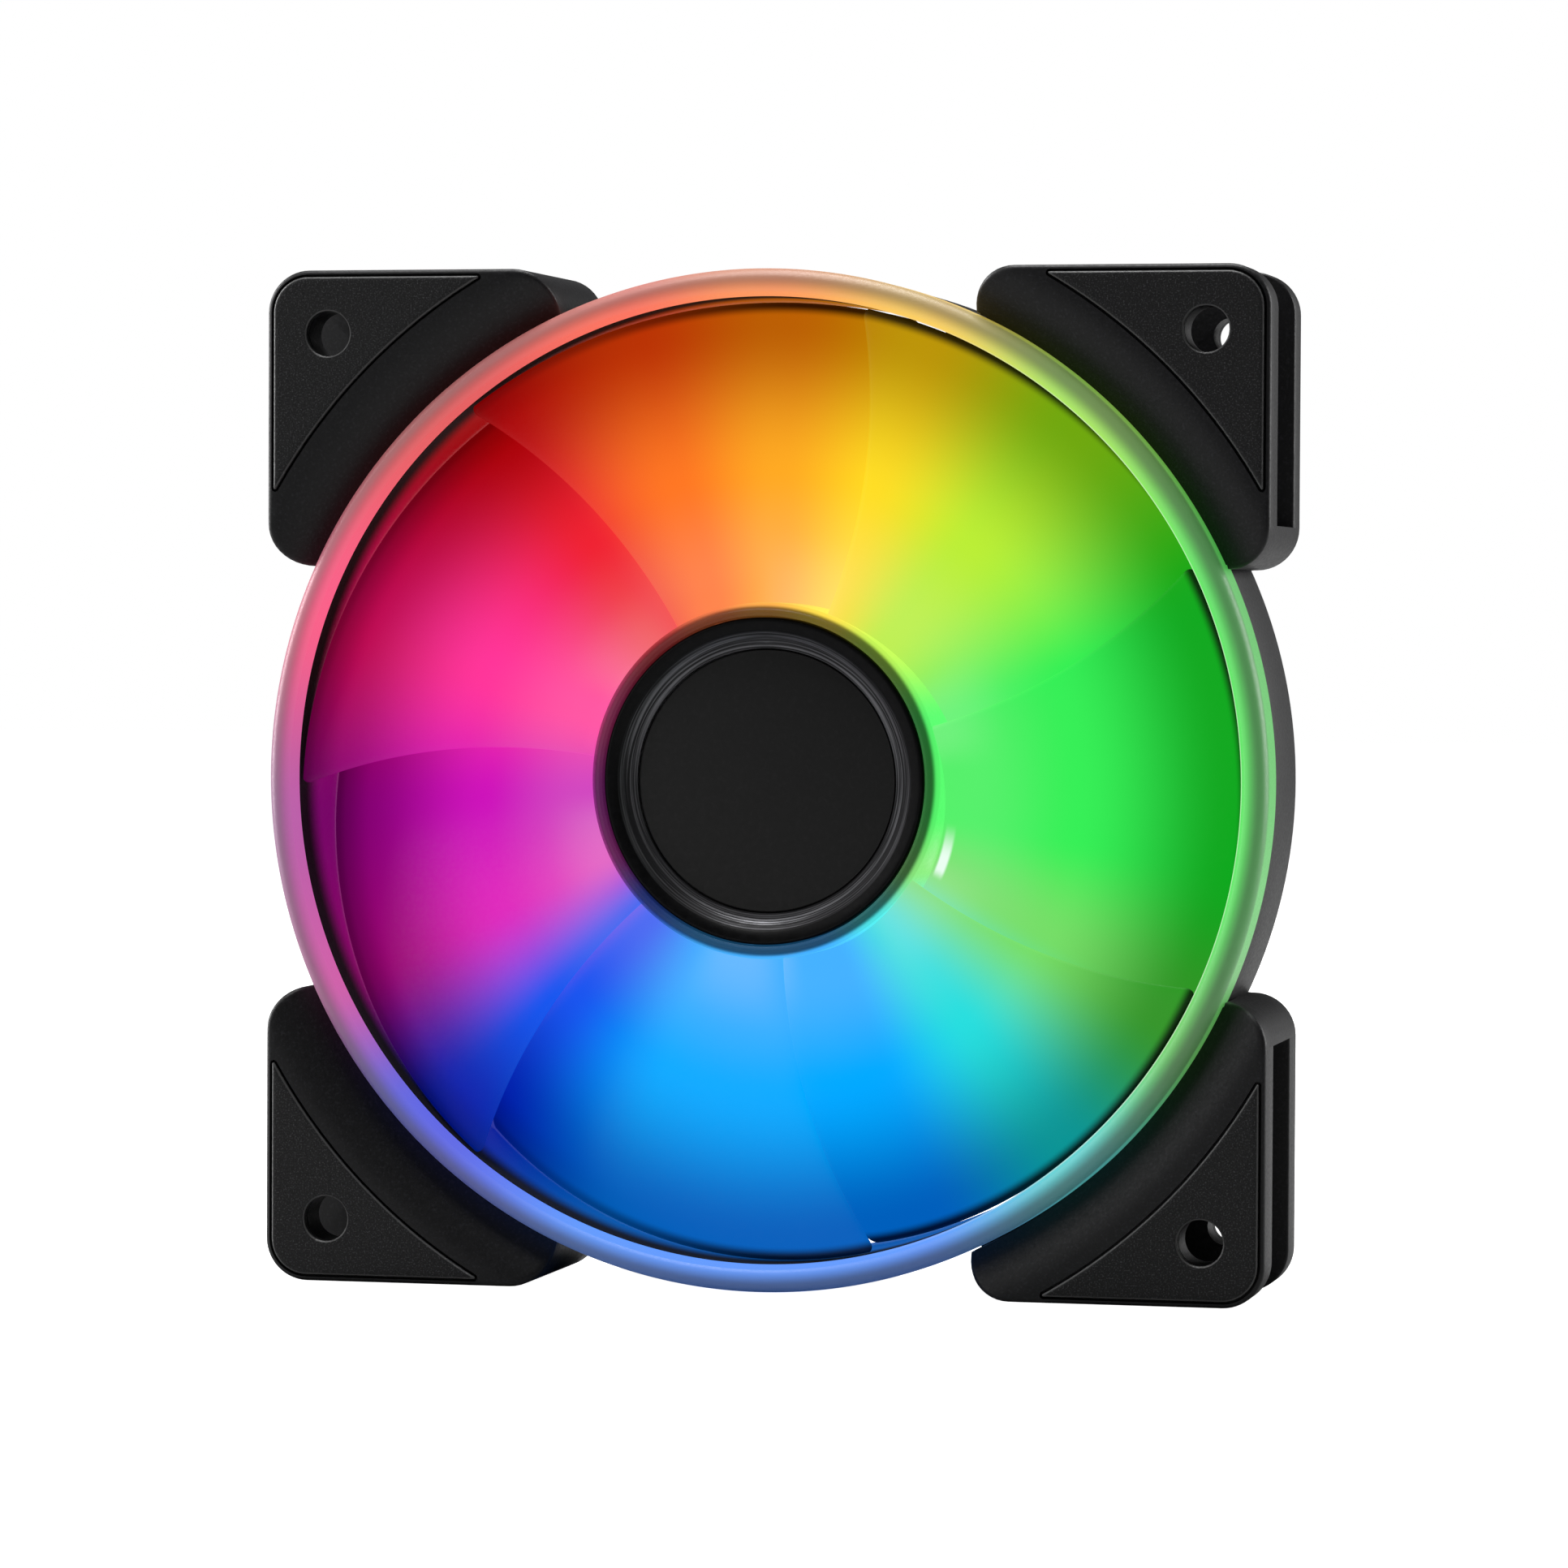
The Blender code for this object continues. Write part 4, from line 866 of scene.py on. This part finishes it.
def ring_material():
    """Frosted plastic lit from inside: bright and tinted on the inner bevel, with a painted highlight along the
    inner edge on the right-hand side, greyer down the outer slope, and tinted again on the outer wall."""
    material = bpy.data.materials.new("frosted_ring")
    material.use_nodes = True
    nodes, links = material.node_tree.nodes, material.node_tree.links
    shader = nodes["Principled BSDF"]
    axis = placed(nodes, ROUND_THE_AXIS)
    wheel = deepened(nodes, links, ring_of_light(nodes, links, axis.outputs["Turn"]))
    light = blend_colours(nodes, links, FROSTING, wheel, (1.0, 1.0, 1.0, 1.0))
    slope = eased(nodes, links, axis.outputs["Radius"], RING_INNER + 0.3, RING_INNER + 2.3)
    to_right = from_right(nodes, links, axis.outputs["Turn"])
    # Painted highlight: a pale line along the ring's inner edge, on the right-hand side only.
    edge = eased(nodes, links, axis.outputs["Radius"], RING_INNER + 0.22, RING_INNER + 0.1, 0.0, 0.4)
    painted_edge_highlight = product(nodes, links, edge, eased(nodes, links, to_right, 0.23, 0.1))
    wall = eased(nodes, links, axis.outputs["Depth"], RING_FRONT + 1.2, RING_FRONT + 2.6)
    faint = blend_colours(nodes, links, 0.86, light, (0.0, 0.0, 0.0, 1.0))
    glow = blend_colours(nodes, links, 0.55, light, (0.0, 0.0, 0.0, 1.0))
    outside = blend_colours(nodes, links, wall, faint, glow)
    bevel_with_painted_highlight = blend_colours(nodes, links, painted_edge_highlight, light, (1.0, 1.0, 0.9, 1.0))
    shine = blend_colours(nodes, links, slope, bevel_with_painted_highlight, outside)
    links.new(shine, shader.inputs["Emission Color"])
    shader.inputs["Emission Strength"].default_value = 0.92
    shader.inputs["Specular IOR Level"].default_value = 0.3
    grey = blend_colours(nodes, links, 0.75, light, (0.13, 0.13, 0.13, 1.0))
    base = blend_colours(nodes, links, slope, (0.03, 0.03, 0.03, 1.0), grey)
    links.new(base, shader.inputs["Base Color"])
    grain = placed(nodes, MOULD_GRAIN)
    grain.inputs["Grain Scale"].default_value = 3200.0
    grain.inputs["Speckle Scale"].default_value = 3000.0
    frost = eased(nodes, links, grain.outputs["Height"], 0.3, 0.7, 0.34, 0.48)
    links.new(frost, shader.inputs["Roughness"])
    dent = nodes.new("ShaderNodeBump")
    dent.inputs["Strength"].default_value = 0.3
    dent.inputs["Distance"].default_value = 0.00002
    links.new(grain.outputs["Height"], dent.inputs["Height"])
    links.new(dent.outputs["Normal"], shader.inputs["Normal"])
    return material


def ring_profile():
    """The ring's section: a bevel with a fine step, a crest, a long rounded slope, and the outer wall."""
    bevel = [
        (RING_INNER, RING_FRONT + 1.5),
        (RING_INNER + 0.08, RING_FRONT + 1.2),
        (RING_INNER + 0.42, RING_FRONT + 0.55),
        (RING_INNER + 0.42, RING_FRONT + 0.47),
        (RING_INNER + 0.7, RING_FRONT + 0.15),
    ]
    share = np.linspace(0, 1, 16)
    fall = RING_FRONT + 2.1 * (1 - np.cos(share * np.pi / 2)) ** 1.25
    slope = np.column_stack((RING_CREST + (RING_OUTER - RING_CREST) * np.sin(share * np.pi / 2), fall))
    behind = [
        (RING_OUTER, SKIRT_BACK - 0.15),
        (RING_OUTER - 0.15, SKIRT_BACK),
        (SKIRT_INNER, SKIRT_BACK),
        (SKIRT_INNER, RING_BACK),
        (RING_INNER, RING_BACK),
    ]
    return np.concatenate((slope, behind, bevel))


light_ring = turned("ring_diffuser", ring_profile(), steps=360, sharp=40.0)
stands_for(light_ring, ring_material(), "stator", "ring_diffuser", "light_ring")


# Blades
# Seven milky plastic blades, moulded with the hub and lit through it by lamps of several colours. Each is
# twisted, cambered and swept, reaches over the one behind it, and is thickest where it leaves the hub.
BLADES = 7
BLADE_ROOT, BLADE_TIP = 20.225, 56.5
BLADE_OVERLAP, BLADE_SWEEP, BLADE_CAMBER = 4.0, math.radians(12.0), 0.35
BLADE_FRONT, BLADE_REAR, BLADE_TIP_RISE = -7.4, 6.4, 1.4
ROOT_THICKNESS, TIP_THICKNESS = 2.0, 1.2
TIP_CORNER, TIP_ROUND = 1.2, 0.5
HUB_RADIUS = 20.95
LAMPS, FIRST_LAMP = 6, math.radians(10.0)


def lamp_light_group():
    """Light from the hub's lamps. Colour changes round the fan and outwards, Lobe is strong beside a lamp."""
    group = bpy.data.node_groups.new("lamp_light", "ShaderNodeTree")
    group.interface.new_socket("Colour", in_out="OUTPUT", socket_type="NodeSocketColor")
    group.interface.new_socket("Lobe", in_out="OUTPUT", socket_type="NodeSocketFloat")
    nodes, links = group.nodes, group.links
    made = nodes.new("NodeGroupOutput")
    axis = placed(nodes, ROUND_THE_AXIS)
    wheel = ring_of_light(nodes, links, axis.outputs["Turn"])
    paler = eased(nodes, links, axis.outputs["Radius"], 24.0, 37.0, 0.06, 0.0)
    inner = blend_colours(nodes, links, paler, wheel, (1.0, 1.0, 1.0, 1.0))
    tips = blend_colours(nodes, links, TIP_DIMMING, deepened(nodes, links, wheel), (0.0, 0.0, 0.0, 1.0))
    outwards = eased(nodes, links, axis.outputs["Radius"], 36.0, 54.0)
    links.new(blend_colours(nodes, links, outwards, inner, tips), made.inputs["Colour"])
    lobes = nodes.new("ShaderNodeMath")
    lobes.operation = "MULTIPLY_ADD"
    links.new(axis.outputs["Turn"], lobes.inputs[0])
    lobes.inputs[1].default_value = LAMPS * math.tau
    lobes.inputs[2].default_value = -LAMPS * FIRST_LAMP
    wave = nodes.new("ShaderNodeMath")
    wave.operation = "COSINE"
    links.new(lobes.outputs["Value"], wave.inputs[0])
    strong = eased(nodes, links, wave.outputs["Value"], -0.2, 1.0)
    close = eased(nodes, links, axis.outputs["Radius"], 30.0, 21.0)
    links.new(product(nodes, links, strong, close), made.inputs["Lobe"])
    return group


LAMP_LIGHT = lamp_light_group()


def blade_material():
    """Milky plastic that carries the lamps' light: paler beside a lamp, with painted shade at the very tip and a
    painted white highlight at the root beside one lamp. The left-hand side gets painted shade towards the tips,
    where the bore shades it."""
    material = bpy.data.materials.new("lit_blade")
    material.use_nodes = True
    nodes, links = material.node_tree.nodes, material.node_tree.links
    shader = nodes["Principled BSDF"]
    light = placed(nodes, LAMP_LIGHT)
    axis = placed(nodes, ROUND_THE_AXIS)
    pale = nodes.new("ShaderNodeMath")
    pale.operation = "MULTIPLY"
    pale.inputs[1].default_value = 0.08
    links.new(light.outputs["Lobe"], pale.inputs[0])
    shine = blend_colours(nodes, links, pale.outputs["Value"], light.outputs["Colour"], (1.0, 1.0, 0.9, 1.0))
    to_right = from_right(nodes, links, axis.outputs["Turn"])
    # Painted shade: the very tips darken almost to black, less on the left-hand side.
    tip = product(
        nodes,
        links,
        eased(nodes, links, axis.outputs["Radius"], BLADE_TIP - 1.6, BLADE_TIP - 0.4, 0.0, 0.97),
        eased(nodes, links, to_right, 0.36, 0.24, 0.3, 1.0),
    )
    # Painted highlight: a white patch at the blades' root beside one lamp.
    painted_root_glint = product(
        nodes,
        links,
        eased(nodes, links, axis.outputs["Turn"], 0.285, 0.32),
        eased(nodes, links, axis.outputs["Turn"], 0.341, 0.329),
        eased(nodes, links, axis.outputs["Radius"], BLADE_ROOT + 0.9, BLADE_ROOT + 1.2),
        eased(nodes, links, axis.outputs["Radius"], BLADE_ROOT + 2.3, BLADE_ROOT + 1.9),
    )
    with_painted_root_glint = blend_colours(nodes, links, painted_root_glint, shine, (0.85, 1.0, 0.9, 1.0))
    shade = product(
        nodes,
        links,
        eased(nodes, links, axis.outputs["Radius"], BLADE_TIP - 5.0, BLADE_TIP - 0.5, 0.0, 0.5),
        eased(nodes, links, to_right, 0.28, 0.4),
    )
    shaded = blend_colours(nodes, links, shade, with_painted_root_glint, (0.0, 0.0, 0.0, 1.0))
    lit = blend_colours(nodes, links, tip, shaded, (0.0, 0.0, 0.0, 1.0))
    links.new(lit, shader.inputs["Emission Color"])
    shader.inputs["Emission Strength"].default_value = 0.97
    body = blend_colours(nodes, links, 0.93, light.outputs["Colour"], (0.0, 0.0, 0.0, 1.0))
    links.new(body, shader.inputs["Base Color"])
    grain = placed(nodes, MOULD_GRAIN)
    grain.inputs["Grain Scale"].default_value = 2200.0
    grain.inputs["Speckle Scale"].default_value = 2000.0
    satin = eased(nodes, links, grain.outputs["Height"], 0.3, 0.7, 0.38, 0.5)
    links.new(satin, shader.inputs["Roughness"])
    shader.inputs["Specular IOR Level"].default_value = 0.12
    dent = nodes.new("ShaderNodeBump")
    dent.inputs["Strength"].default_value = 0.3
    dent.inputs["Distance"].default_value = 0.00002
    links.new(grain.outputs["Height"], dent.inputs["Height"])
    links.new(dent.outputs["Normal"], shader.inputs["Normal"])
    return material


def blade_points(spans=44, stations=36):
    """A blade as closed sections. Along the chord the height falls from front to rear with a camber, the middle
    sweeps round with radius, and the thickness is a flat oval that swells at the root and closes at the tip."""
    inner = np.linspace(BLADE_ROOT, BLADE_TIP - TIP_CORNER, spans)
    outer = BLADE_TIP - TIP_CORNER + TIP_CORNER * np.sin(np.linspace(0, np.pi / 2, 16))[1:]
    radius = np.concatenate((inner, outer))[:, None]
    share = (radius - BLADE_ROOT) / (BLADE_TIP - BLADE_ROOT)
    near_tip = np.clip((radius - BLADE_TIP + TIP_CORNER) / TIP_CORNER, 0, 1)
    corner_cut = TIP_CORNER * (1 - np.sqrt(1 - 0.9 * near_tip**2))
    chord = 2 * np.pi / BLADES + (BLADE_OVERLAP - 2 * corner_cut) / radius
    middle = BLADE_SWEEP * share**1.3
    along = (1 - np.cos(np.linspace(0, np.pi, stations + 1))) / 2
    along = np.concatenate((along, along[-2:0:-1]))[None, :]
    side = np.concatenate((np.ones(stations + 1), -np.ones(stations - 1)))[None, :]
    side[0, 0] = side[0, stations] = 0.0
    angle = middle + (0.5 - along) * chord
    front = BLADE_FRONT - BLADE_TIP_RISE * share
    drop = (1 - BLADE_CAMBER) * along + BLADE_CAMBER * along**2
    height = front + (BLADE_REAR - front) * drop
    thickness = ROOT_THICKNESS + (TIP_THICKNESS - ROOT_THICKNESS) * share
    thickness = thickness + 1.3 * np.exp(-np.clip(radius - HUB_RADIUS, 0, None) / 0.9)
    close = np.sqrt(np.clip(1 - np.clip((radius - BLADE_TIP + TIP_ROUND) / TIP_ROUND, 0, 1) ** 2, 0, 1))
    oval = np.sqrt(np.clip(1 - np.abs(2 * along - 1) ** 10, 0, 1))
    height = height + side * thickness / 2 * close * oval
    return np.stack((radius * np.cos(angle), height, radius * np.sin(angle)), -1)


blade = blade_points()
blade_rows, blade_columns = blade.shape[:2]
every_blade, every_face, every_cap = [], [], []
for index in range(BLADES):
    turn = math.radians(90.0 + index * 360 / BLADES)
    x, y, z = np.moveaxis(blade, -1, 0)
    cosine, sine = math.cos(turn), math.sin(turn)
    turned_blade = np.stack((x * cosine - z * sine, y, x * sine + z * cosine), -1)
    offset = index * blade_rows * blade_columns
    every_blade.append(turned_blade.reshape(-1, 3))
    every_face.append(grid_faces(blade_rows, blade_columns, False, True) + offset)
    last = offset + blade_rows * blade_columns
    every_cap += [range(offset, offset + blade_columns), range(last - 1, last - blade_columns - 1, -1)]
blades = solid("blades", np.concatenate(every_blade), np.concatenate(every_face), sharp=50.0, caps=every_cap)
stands_for(blades, blade_material(), "rotor", "rotor_plastic", "impeller")


# Hub
# The same milky moulding as the blades: a cup over the motor. Its wall shines, its front rim is dimmer, and
# the lamps show as white patches at its rear edge.
HUB_WALL, HUB_ROUND, RIM_WIDTH = 1.45, 2.0, 1.55
HUB_FRONT, HUB_REAR, HUB_INSIDE = -10.0, 7.0, -4.8
CAP_SEAT, BOSS_HOLE = -6.2, 3.36


def hub_material():
    """The hub's plastic: painted shade dims its rounded front edge, less on the right; the light whitens beside
    each lamp.
    """
    material = bpy.data.materials.new("lit_hub")
    material.use_nodes = True
    nodes, links = material.node_tree.nodes, material.node_tree.links
    shader = nodes["Principled BSDF"]
    light = placed(nodes, LAMP_LIGHT)
    axis = placed(nodes, ROUND_THE_AXIS)
    # Painted shade: the front rim is dimmed towards black, less on the right-hand side.
    clear = product(
        nodes,
        links,
        eased(nodes, links, axis.outputs["Depth"], HUB_FRONT, HUB_FRONT + 1.4),
        eased(nodes, links, axis.outputs["Radius"], HUB_RADIUS - 1.6, HUB_RADIUS - 0.4),
        eased(nodes, links, from_right(nodes, links, axis.outputs["Turn"]), 0.42, 0.2, 0.2, 1.0),
    )
    rim_painted_shade = eased(nodes, links, clear, 0.0, 1.0, 0.9, 0.0)
    shine = blend_colours(nodes, links, rim_painted_shade, light.outputs["Colour"], (0.0, 0.0, 0.0, 1.0))
    rear = eased(nodes, links, axis.outputs["Depth"], HUB_REAR - 3.5, HUB_REAR - 1.2)
    patch = product(nodes, links, rear, eased(nodes, links, light.outputs["Lobe"], 0.45, 0.75))
    lit = blend_colours(nodes, links, patch, shine, (0.95, 1.0, 0.9, 1.0))
    links.new(lit, shader.inputs["Emission Color"])
    shader.inputs["Emission Strength"].default_value = 0.95
    body = blend_colours(nodes, links, 0.9, light.outputs["Colour"], (0.01, 0.01, 0.01, 1.0))
    links.new(body, shader.inputs["Base Color"])
    grain = placed(nodes, MOULD_GRAIN)
    grain.inputs["Grain Scale"].default_value = 2200.0
    grain.inputs["Speckle Scale"].default_value = 2000.0
    links.new(eased(nodes, links, grain.outputs["Height"], 0.3, 0.7, 0.3, 0.4), shader.inputs["Roughness"])
    shader.inputs["Specular IOR Level"].default_value = 0.12
    return material


hub = turned(
    "hub_cup",
    filleted(
        [
            (HUB_RADIUS - RIM_WIDTH, HUB_FRONT + 0.2, 0.12),
            (HUB_RADIUS - RIM_WIDTH + 0.35, HUB_FRONT, 0.15),
            (HUB_RADIUS - 0.75, HUB_FRONT + 0.1, 0.6),
            (HUB_RADIUS, HUB_FRONT + HUB_ROUND * 0.8, 1.0),
            (HUB_RADIUS, HUB_REAR, 0.2),
            (HUB_RADIUS - HUB_WALL, HUB_REAR, 0.2),
            (HUB_RADIUS - HUB_WALL, HUB_INSIDE, 0.3),
            (BOSS_HOLE, HUB_INSIDE, 0.0),
            (BOSS_HOLE, CAP_SEAT, 0.0),
            (HUB_RADIUS - RIM_WIDTH, CAP_SEAT, 0.1),
        ],
        steps=8,
    ),
)
stands_for(hub, hub_material(), "rotor", "rotor_plastic", "impeller")


# Hub cap and badge
# A black satin cap pressed into the hub's front, dished round a shallow pocket, and the plain disc that is
# glued into it.
CAP_RADIUS, CAP_FRONT, CAP_BACK = 19.2, -9.85, -6.5
BADGE_RADIUS, BADGE_FRONT, BADGE_BACK = 15.4, -7.6, -7.2
CAP_FLOOR, CAP_LEDGE = -7.0, -7.9
LIP_WIDTH, LIP_DROP = 1.5, 0.5


def cap_material():
    """Satin black, with painted highlights streaked round the axis on the slope between the flat edge and the
    pocket.
    """
    material = grained(
        "cap_black", srgb("050506"), srgb("0a0a0c"), 0.38, 0.5,
        grain_scale=900.0, speckle_scale=1500.0, bump=0.000008
    )
    nodes, links = material.node_tree.nodes, material.node_tree.links
    shader = nodes["Principled BSDF"]
    axis = placed(nodes, ROUND_THE_AXIS)
    outer = eased(nodes, links, axis.outputs["Radius"], CAP_RADIUS - LIP_WIDTH, CAP_RADIUS - 1.9)
    inner = eased(nodes, links, axis.outputs["Radius"], BADGE_RADIUS + 0.1, BADGE_RADIUS + 0.2)
    spread = nodes.new("ShaderNodeCombineXYZ")
    links.new(axis.outputs["Radius"], spread.inputs["X"])
    turn = nodes.new("ShaderNodeMath")
    turn.operation = "PINGPONG"
    turn.inputs[1].default_value = 0.5
    links.new(axis.outputs["Turn"], turn.inputs[0])
    links.new(turn.outputs["Value"], spread.inputs["Y"])
    streaks = nodes.new("ShaderNodeTexNoise")
    streaks.inputs["Scale"].default_value = 4.5
    streaks.inputs["Detail"].default_value = 4.0
    links.new(spread.outputs["Vector"], streaks.inputs["Vector"])
    painted_streak = eased(nodes, links, streaks.outputs["Fac"], 0.42, 0.66, 0.1, 1.0)
    # Painted highlight: the slope is made paler and metallic in streaks round the axis, standing in for
    # reflections of the lights.
    bright = product(nodes, links, outer, inner, painted_streak)
    plain_colour = shader.inputs["Base Color"].links[0].from_socket
    with_painted_highlight = blend_colours(nodes, links, bright, plain_colour, (0.16, 0.16, 0.17, 1.0))
    links.new(with_painted_highlight, shader.inputs["Base Color"])
    links.new(bright, shader.inputs["Metallic"])
    shader.inputs["Specular IOR Level"].default_value = 0.12
    return material


BADGE_BLACK = grained(
    "badge_black", srgb("101010"), srgb("151515"), 0.5, 0.6,
    grain_scale=1200.0, speckle_scale=1800.0, bump=0.00001
)


def cap_profile():
    """The cap's section: a rounded outer lip, a short slope, and a hollow curve down to the badge's pocket."""
    slope_end, slope_depth = CAP_RADIUS - LIP_WIDTH, CAP_FRONT + LIP_DROP
    pocket = BADGE_RADIUS + 0.2
    share = np.linspace(0, 1, 16)
    fall = slope_depth + (CAP_LEDGE - slope_depth) * np.sin(share * np.pi / 2)
    hollow = np.column_stack((slope_end + (pocket - slope_end) * share, fall))
    back = [(0, CAP_BACK, 0), (CAP_RADIUS, CAP_BACK, 0.1)]
    lip = filleted(back + [(CAP_RADIUS, CAP_FRONT, 0.4), (slope_end, slope_depth, 0)])
    return np.concatenate((lip[:-1], hollow, [(pocket, CAP_FLOOR), (0, CAP_FLOOR)]))


hub_cap = turned("cap", cap_profile(), sharp=30.0)
stands_for(hub_cap, cap_material(), "rotor", "cap_plastic", "hub_cap")
badge_edge = [(BADGE_RADIUS, BADGE_BACK, 0.05), (BADGE_RADIUS, BADGE_FRONT, 0.1)]
badge = turned("badge", filleted([(0, BADGE_BACK, 0), *badge_edge, (0, BADGE_FRONT, 0)]))
stands_for(badge, BADGE_BLACK, "rotor", "badge", "hub_badge")


# Motor pieces
# The shaped inner pieces keep their solids and get their finishes: pressed steel, bonded ferrite, turned brass,
# oiled bronze, off-white nylon, enamelled wire, a green board with its chips and lamps, and a blank label.
def finish_node(node, material):
    """Puts a material on a CAD node."""
    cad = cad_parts[node]
    cad.data.materials.clear()
    cad.data.materials.append(material)


def metal(name, colour, darker, roughness, rougher, scale):
    """Bare metal with faint cloudy marks."""
    made = grained(name, colour, darker, roughness, rougher, scale, scale * 1.3, 0.00001)
    made.node_tree.nodes["Principled BSDF"].inputs["Metallic"].default_value = 1.0
    return made


STEEL = metal("pressed_steel", (0.45, 0.46, 0.48, 1), (0.35, 0.35, 0.37, 1), 0.28, 0.4, 500.0)
BRASS = metal("turned_brass", (0.72, 0.55, 0.28, 1), (0.6, 0.44, 0.2, 1), 0.25, 0.35, 500.0)
BRONZE = metal("oiled_bronze", (0.45, 0.3, 0.16, 1), (0.3, 0.2, 0.1, 1), 0.4, 0.55, 1500.0)
COPPER = metal("enamelled_wire", (0.62, 0.26, 0.1, 1), (0.5, 0.18, 0.07, 1), 0.25, 0.4, 900.0)
FERRITE = grained("bonded_ferrite", (0.05, 0.05, 0.055, 1), (0.1, 0.1, 0.1, 1), 0.55, 0.7, 1500.0, 1800.0, 0.00002)
NYLON = grained("white_nylon", (0.7, 0.7, 0.66, 1), (0.78, 0.78, 0.75, 1), 0.45, 0.55, 900.0, 1200.0, 0.00001)
BOARD = grained("green_board", (0.01, 0.1, 0.04, 1), (0.02, 0.16, 0.07, 1), 0.3, 0.45, 700.0, 900.0, 0.00001)
CHIP = grained("chip_black", (0.02, 0.02, 0.02, 1), (0.05, 0.05, 0.05, 1), 0.5, 0.6, 2500.0, 2500.0, 0.00001)
CERAMIC = grained("chip_tan", (0.42, 0.32, 0.22, 1), (0.5, 0.4, 0.3, 1), 0.4, 0.5, 2500.0, 2500.0, 0.00001)
LABEL = grained("blank_label", (0.46, 0.46, 0.48, 1), (0.52, 0.52, 0.54, 1), 0.35, 0.42, 500.0, 900.0, 0.000005)
LAMP = grained("lamp_lens", (0.85, 0.85, 0.8, 1), (0.9, 0.9, 0.9, 1), 0.15, 0.25, 900.0, 900.0, 0.000005)
LAMP.node_tree.nodes["Principled BSDF"].inputs["Emission Color"].default_value = (1, 1, 1, 1)
LAMP.node_tree.nodes["Principled BSDF"].inputs["Emission Strength"].default_value = 1.0

NODE_FINISHES = {
    "rotor_yoke": STEEL,
    "shaft": STEEL,
    "stator_core": STEEL,
    "bearing_plug": STEEL,
    "rotor_magnet": FERRITE,
    "shaft_boss": BRASS,
    "bearing_tube": BRASS,
    "sleeve_bearing": BRONZE,
    "oil_slinger": NYLON,
    "retaining_clip": NYLON,
    "thrust_pad": NYLON,
    "bobbin_front": NYLON,
    "bobbin_rear": NYLON,
    "motor_board": BOARD,
    "driver_chip": CHIP,
    "hall_sensor": CHIP,
    "capacitor_1": CERAMIC,
    "capacitor_2": CERAMIC,
    "rear_label": LABEL,
}
NODE_FINISHES.update({f"coil_{index}": COPPER for index in range(1, 5)})
NODE_FINISHES.update({f"hub_led_{index}": LAMP for index in range(1, 7)})
for node, material in NODE_FINISHES.items():
    finish_node(node, material)
